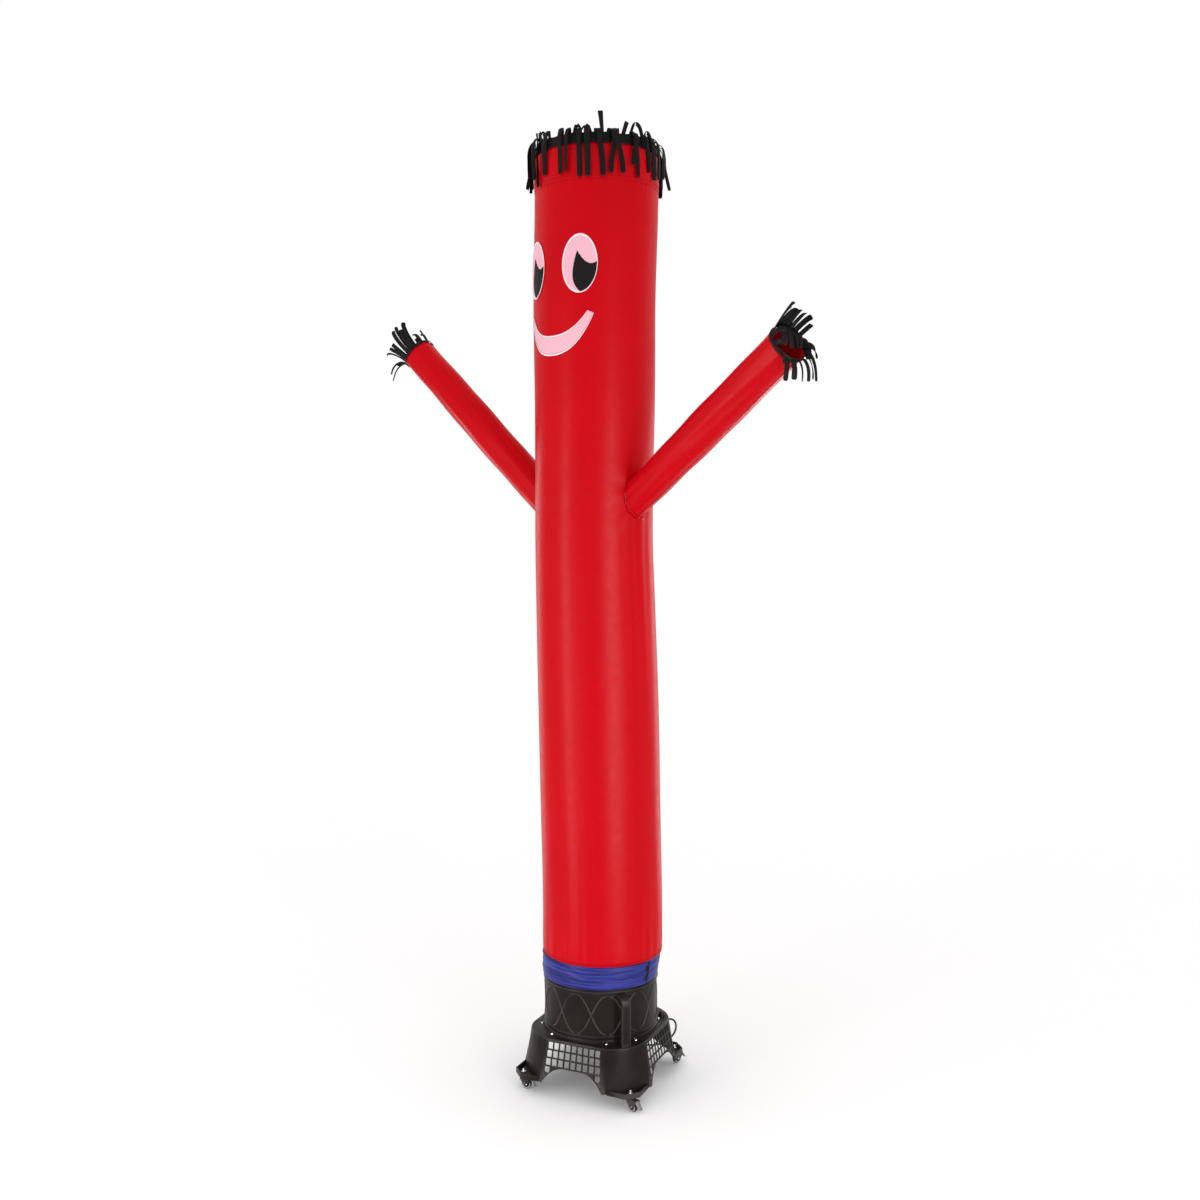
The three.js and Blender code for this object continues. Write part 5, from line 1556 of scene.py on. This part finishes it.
def caster_fork(name):
    """Round head under the shelf, with a plate and two cheeks that hold the axle."""
    top, neck, crown = SHELF["low"] - GAP, CASTER["neck"], CASTER["crown"]
    near, far = CASTER["cheek"], CASTER["cheek"] + CASTER["sheet"]
    head = turned(name, [
        (0, 0.034), (neck, 0.034), (neck, 0.0362), (neck + 0.0012, 0.0372),
        (crown - 0.0016, 0.0398),
        (crown, 0.0412), (crown, top - 0.0006), (crown - 0.0006, top), (0, top),
    ], 48)
    head = cut(head, extruded("plate", [(-0.010, -far), (0.018, -far), (0.018, far),
                                        (-0.010, far)], 0.0035, moved((0, 0, 0.034))), "UNION")
    outline = [(0.001 - neck, 0.038), (0.001 - neck, 0.033), (0.005, 0.012), (0.0072, 0.0101),
               (0.010, 0.0095), (0.0135, 0.0097), (0.016, 0.011), (0.029, 0.030), (0.029, 0.037),
               (0.024, 0.038)]
    for start in (far, -near):
        cheek = extruded("cheek", outline, CASTER["sheet"], moved((0, start, 0)) @ ALONG_Y)
        head = cut(head, cheek, "UNION")
    head = cut(head, rod("bore", CASTER["pin"] + 0.0004, -0.02, 0.02, 24, AT_HUB))
    return rounded(head, 0.0005)


def caster_wheel(name):
    """Black tyre and hub with a pale ring on each side and a raised middle."""
    half, outer, bore = CASTER["width"] / 2, CASTER["wheel"], CASTER["pin"] + 0.0003
    ring_out, ring_in = outer * 0.84, outer * 0.66
    side = [(bore, half - 0.0002), (0.0052, half - 0.0002), (0.0060, half - 0.0012),
            (ring_in - 0.0006, half - 0.0012), (ring_in, half - 0.0002), (ring_out, half - 0.0002),
            (ring_out + 0.0006, half - 0.0010), (outer - 0.0012, half - 0.0008),
            (outer - 0.0003, half - 0.0022), (outer, half - 0.0036)]
    profile = side + [(r, -z) for r, z in side[::-1]] + [side[0]]
    wheel = turned(name, profile, 64, AT_HUB)
    for material in (TYRE, PALE_RING, STEEL):
        wheel.data.materials.append(material)
    for face in wheel.data.polygons:
        x, y, z = face.center
        reach = math.hypot(x - CASTER["trail"], z - outer)
        if ring_in + 0.0002 < reach < ring_out - 0.0002 and abs(y) > half - 0.0006:
            face.material_index = 1
    return wheel


def caster_axle(name):
    """Rivet through the fork, with a domed head at each end."""
    reach = CASTER["cheek"] + CASTER["sheet"]
    head = [(0, reach), (0.0016, reach - 0.0001), (CASTER["pin"], reach - 0.0008)]
    profile = head + [(r, -z) for r, z in head[::-1]]
    return turned(name, profile, 32, AT_HUB)


def caster_brake(name):
    """Bent sheet lever that presses on the tyre."""
    half = CASTER["cheek"] - GAP
    outline = [(-0.0025, 0), (-0.0022, 0.0012), (-0.0010, 0.0022), (0, 0.0026), (0.0014, 0.0024),
               (0.0026, 0.0016), (0.010, -0.006), (0.0186, -0.0193), (0.0190, -0.020),
               (0.0184, -0.0208), (0.017, -0.021), (0.008, -0.008), (0, -0.0026),
               (-0.0016, -0.0018)]
    lever = extruded(name, outline, 2 * half, moved((0.025, half, 0.0335)) @ ALONG_Y)
    return rounded(lever, 0.0004)


def caster_bolt(name):
    """Six-sided nut with the rounded end of the caster's screw standing out of it."""
    nut = turned(name, [(0, 0), (0.0070, 0), (0.0070, 0.0042), (0.0060, 0.005), (0, 0.005)], 6)
    for edge in nut.data.edges:
        edge.use_edge_sharp = True
    end = turned("end", [(0, 0.004), (0.0034, 0.004), (0.0034, 0.0105), (0.0030, 0.0118),
                         (0.0018, 0.0127), (0, 0.013)], 24)
    for level in np.arange(0.0058, 0.0108, 0.0009):
        thread = turned("thread", [(0.0031, level - 0.0003), (0.0040, level - 0.0003),
                                   (0.0040, level), (0.0031, level), (0.0031, level - 0.0003)], 24)
        end = cut(end, thread)
    nut = cut(nut, end, "UNION")
    return rounded(nut, 0.0003, segments=1)


CASTER_PIECES = [  # part, what makes it, material, record slot, body at its corner
    ("fork", caster_fork, CASTER_PLASTIC, "caster_plastic", "swivel"),
    ("wheel", caster_wheel, None, "tyre", "wheel"),
    ("axle", caster_axle, STEEL, "steel", "swivel"),
    ("brake", caster_brake, DULL_STEEL, "steel", "brake"),
    ("bolt", caster_bolt, STEEL, "steel", None),
]
for part, make, material, slot, body in CASTER_PIECES:
    pattern = make(f"pattern_{part}")
    rise = SHELF["floor"] + GAP if part == "bolt" else 0
    for corner, (sign_x, sign_y, heading) in CORNERS.items():
        spot = AXIS + np.array((sign_x, sign_y, 0)) * CASTER["reach"]
        piece = link(f"{corner}_{part}_piece", pattern.data.copy())
        piece.data.transform(moved(spot) @ spun(heading - 90) @ moved((0, 0, rise)))
        finish(piece, material, slot, f"caster_{corner}_{part}",
               body=f"{corner}_{body}" if body else BODY_NAME)
    bpy.data.objects.remove(pattern)

# ---- lead's fittings ----
GLAND = {"turn": 0.75, "height": 0.130, "length": 0.026, "base": 0.008, "tip": 0.005,
         "slope": 0.11, "rings": 5, "first": 0.0046, "pitch": 0.0042}
PLUG = {"body": 0.038, "width": 0.026, "high": 0.0198, "blade": 0.017, "blade_high": 0.0063,
        "blade_thick": 0.0015, "pitch": 0.0127}


def strain_relief():
    """Tapered and ribbed sleeve round the lead where it leaves the foot's back corner."""
    centre, radius, sweep = corner_arc(GLAND["height"])
    azimuth = 135 + sweep * (2 * GLAND["turn"] - 1)
    spot = toward(135, centre, GLAND["height"])
    spot = spot + toward(azimuth, radius * math.cos(math.radians(sweep / 6)) + GAP)
    base, tip, length = GLAND["base"], GLAND["tip"], GLAND["length"]
    profile = [(0, 0), (base, 0), (base, 0.0026), (base - 0.0008, 0.0032)]
    for step in range(GLAND["rings"]):
        start = GLAND["first"] + step * GLAND["pitch"]
        wide = base - 0.0010 + (tip - base + 0.0010) * start / length
        profile += [(wide - 0.0010, start - 0.0004), (wide, start), (wide - 0.0002, start + 0.0026),
                    (wide - 0.0012, start + 0.0030)]
    profile += [(tip - 0.0004, length), (0, length)]
    axis = toward(azimuth) + np.array((0, 0, GLAND["slope"]))
    axis /= np.linalg.norm(axis)
    across = toward(azimuth + 90)
    place = frame_axes(across, np.cross(axis, across), axis, AXIS + spot)
    return turned("strain_relief", profile, 40, place)


def plug():
    """Moulded two-pin plug with finger ridges, lying beside the coil."""
    start = AXIS + np.array(TAIL_END) + np.array((-GAP, 0, 0))
    turn = np.arange(48) * math.tau / 48
    stations = [(0.0, 0.36), (0.0008, 0.40), (0.008, 0.46), (0.0081, 0.42), (0.0092, 0.42),
                (0.0093, 0.50), (0.0145, 0.66), (0.0146, 0.62), (0.0157, 0.62), (0.0158, 0.72),
                (0.0200, 0.86), (0.0245, 0.97), (0.0300, 1.0), (0.0366, 1.0), (0.0376, 0.97),
                (0.0380, 0.90)]
    rings = []
    for along, scale in stations:
        x, z = np.cos(turn), np.sin(turn)
        rounded = (np.abs(x) ** 4 + np.abs(z) ** 4) ** -0.25
        rings.append(np.stack([np.full_like(turn, start[0] - along),
                               start[1] - PLUG["width"] / 2 * scale * x * rounded,
                               start[2] + PLUG["high"] / 2 * scale * z * rounded], axis=-1))
    body = shade_by_angle(lofted("plug_body", rings), 40)
    body.data.materials.append(LEAD_RUBBER)
    blades = []
    for aside in (-PLUG["pitch"] / 2, PLUG["pitch"] / 2):
        half, length = PLUG["blade_high"] / 2, PLUG["blade"]
        outline = [(0.002, -half), (-length + 0.001, -half), (-length, -half + 0.001),
                   (-length, half - 0.001), (-length + 0.001, half), (0.002, half)]
        spot = start + np.array((-PLUG["body"], aside + PLUG["blade_thick"] / 2, 0))
        blade = extruded("blade", outline, PLUG["blade_thick"],
                         moved(spot) @ ALONG_Y)
        blade.data.materials.append(STEEL)
        blades.append(blade)
    return merged("mains_plug", [body] + blades)


def coil_tie():
    """Flat band round the coil's turns."""
    outer, inner = COIL["turns"][0], COIL["turns"][2]
    low_r, high_r = inner - CORD_RADIUS - 0.0003, outer + CORD_RADIUS + 0.0003
    low_z, high_z = 0.0004, COIL["high"] + CORD_RADIUS + 0.0002
    bend, middle_r, middle_z = 0.003, (low_r + high_r) / 2, (low_z + high_z) / 2
    loop = []
    for r, z, turn in ((high_r, high_z, 0), (low_r, high_z, 90), (low_r, low_z, 180),
                       (high_r, low_z, 270)):
        loop += quarter_circle(r - math.copysign(bend, r - middle_r),
                               z - math.copysign(bend, z - middle_z), bend, turn, 6)
    azimuth, centre = 62.0, AXIS + np.array((COIL["x"], COIL["y"], 0))
    points = [centre + toward(azimuth, r, z) + toward(azimuth + 90) * aside
              for aside in np.linspace(-0.0035, 0.0035, 4) for r, z in loop]
    tie = mesh_object("coil_tie", points, grid_faces(4, len(loop), True))
    add_thickness(tie, 0.0005, 0.0)
    return outward(bake(tie))


finish(lead, LEAD_RUBBER, "lead_rubber", "cord", "cord_coil", "cord_tail")
relief = finish(strain_relief(), LEAD_RUBBER, "lead_rubber", "cord_gland")
mains_plug = finish(plug(), None, "lead_rubber", "cord_plug")
tie = finish(coil_tie(), LEAD_RUBBER, "lead_rubber")

# ---- studio ----
LIGHT_REACH = 2.0
LIGHTS = [  # name, azimuth, height, width and length, power, whether it lights matt surfaces too
    ("tall_left", -22, 0.9, (0.13, 1.7), 6, True),
    ("tall_right", 52, 0.9, (0.11, 1.7), 5, True),
    ("sheen_left", -26, 1.2, (0.16, 2.2), 56, False),
    ("sheen_right", 55, 1.2, (0.16, 2.2), 72, False),
    ("rim_left", -112, 1.2, (0.16, 2.2), 8, False),
    ("rim_right", 162, 1.2, (0.16, 2.2), 12, False),
]
WHITE = (1, 1, 1, 1)


def strip_light(name, azimuth, height, size, power, diffuse):
    """Upright strip of light that faces the blower's axis and can't be seen itself."""
    data = bpy.data.lights.new(name, "AREA")
    data.shape, data.energy = "RECTANGLE", power
    data.size, data.size_y = size
    light = link(name, data)
    spot = Vector(AXIS + toward(azimuth, LIGHT_REACH, height))
    light.location = spot
    light.visible_camera, light.visible_diffuse = False, diffuse
    look_along(light, Vector((AXIS[0], AXIS[1], height)) - spot)


def studio():
    """Wide flat white floor, even white surroundings and upright strip lights."""
    floor = mesh_object("studio_floor", [(-30, -30, 0), (30, -30, 0), (30, 30, 0), (-30, 30, 0)],
                        [(0, 1, 2, 3)], smooth=False)
    floor.data.materials.append(blank_material("studio_floor", 0.0, Roughness=1.0,
                                               **{"Base Color": WHITE})[0])
    world = bpy.data.worlds.new("studio")
    world.use_nodes = True
    fill(world.node_tree, world.node_tree.nodes["Background"], {"Color": WHITE, "Strength": 1.0})
    bpy.context.scene.world = world
    for row in LIGHTS:
        strip_light(*row)


studio()
bpy.context.scene.view_settings.view_transform = "Standard"
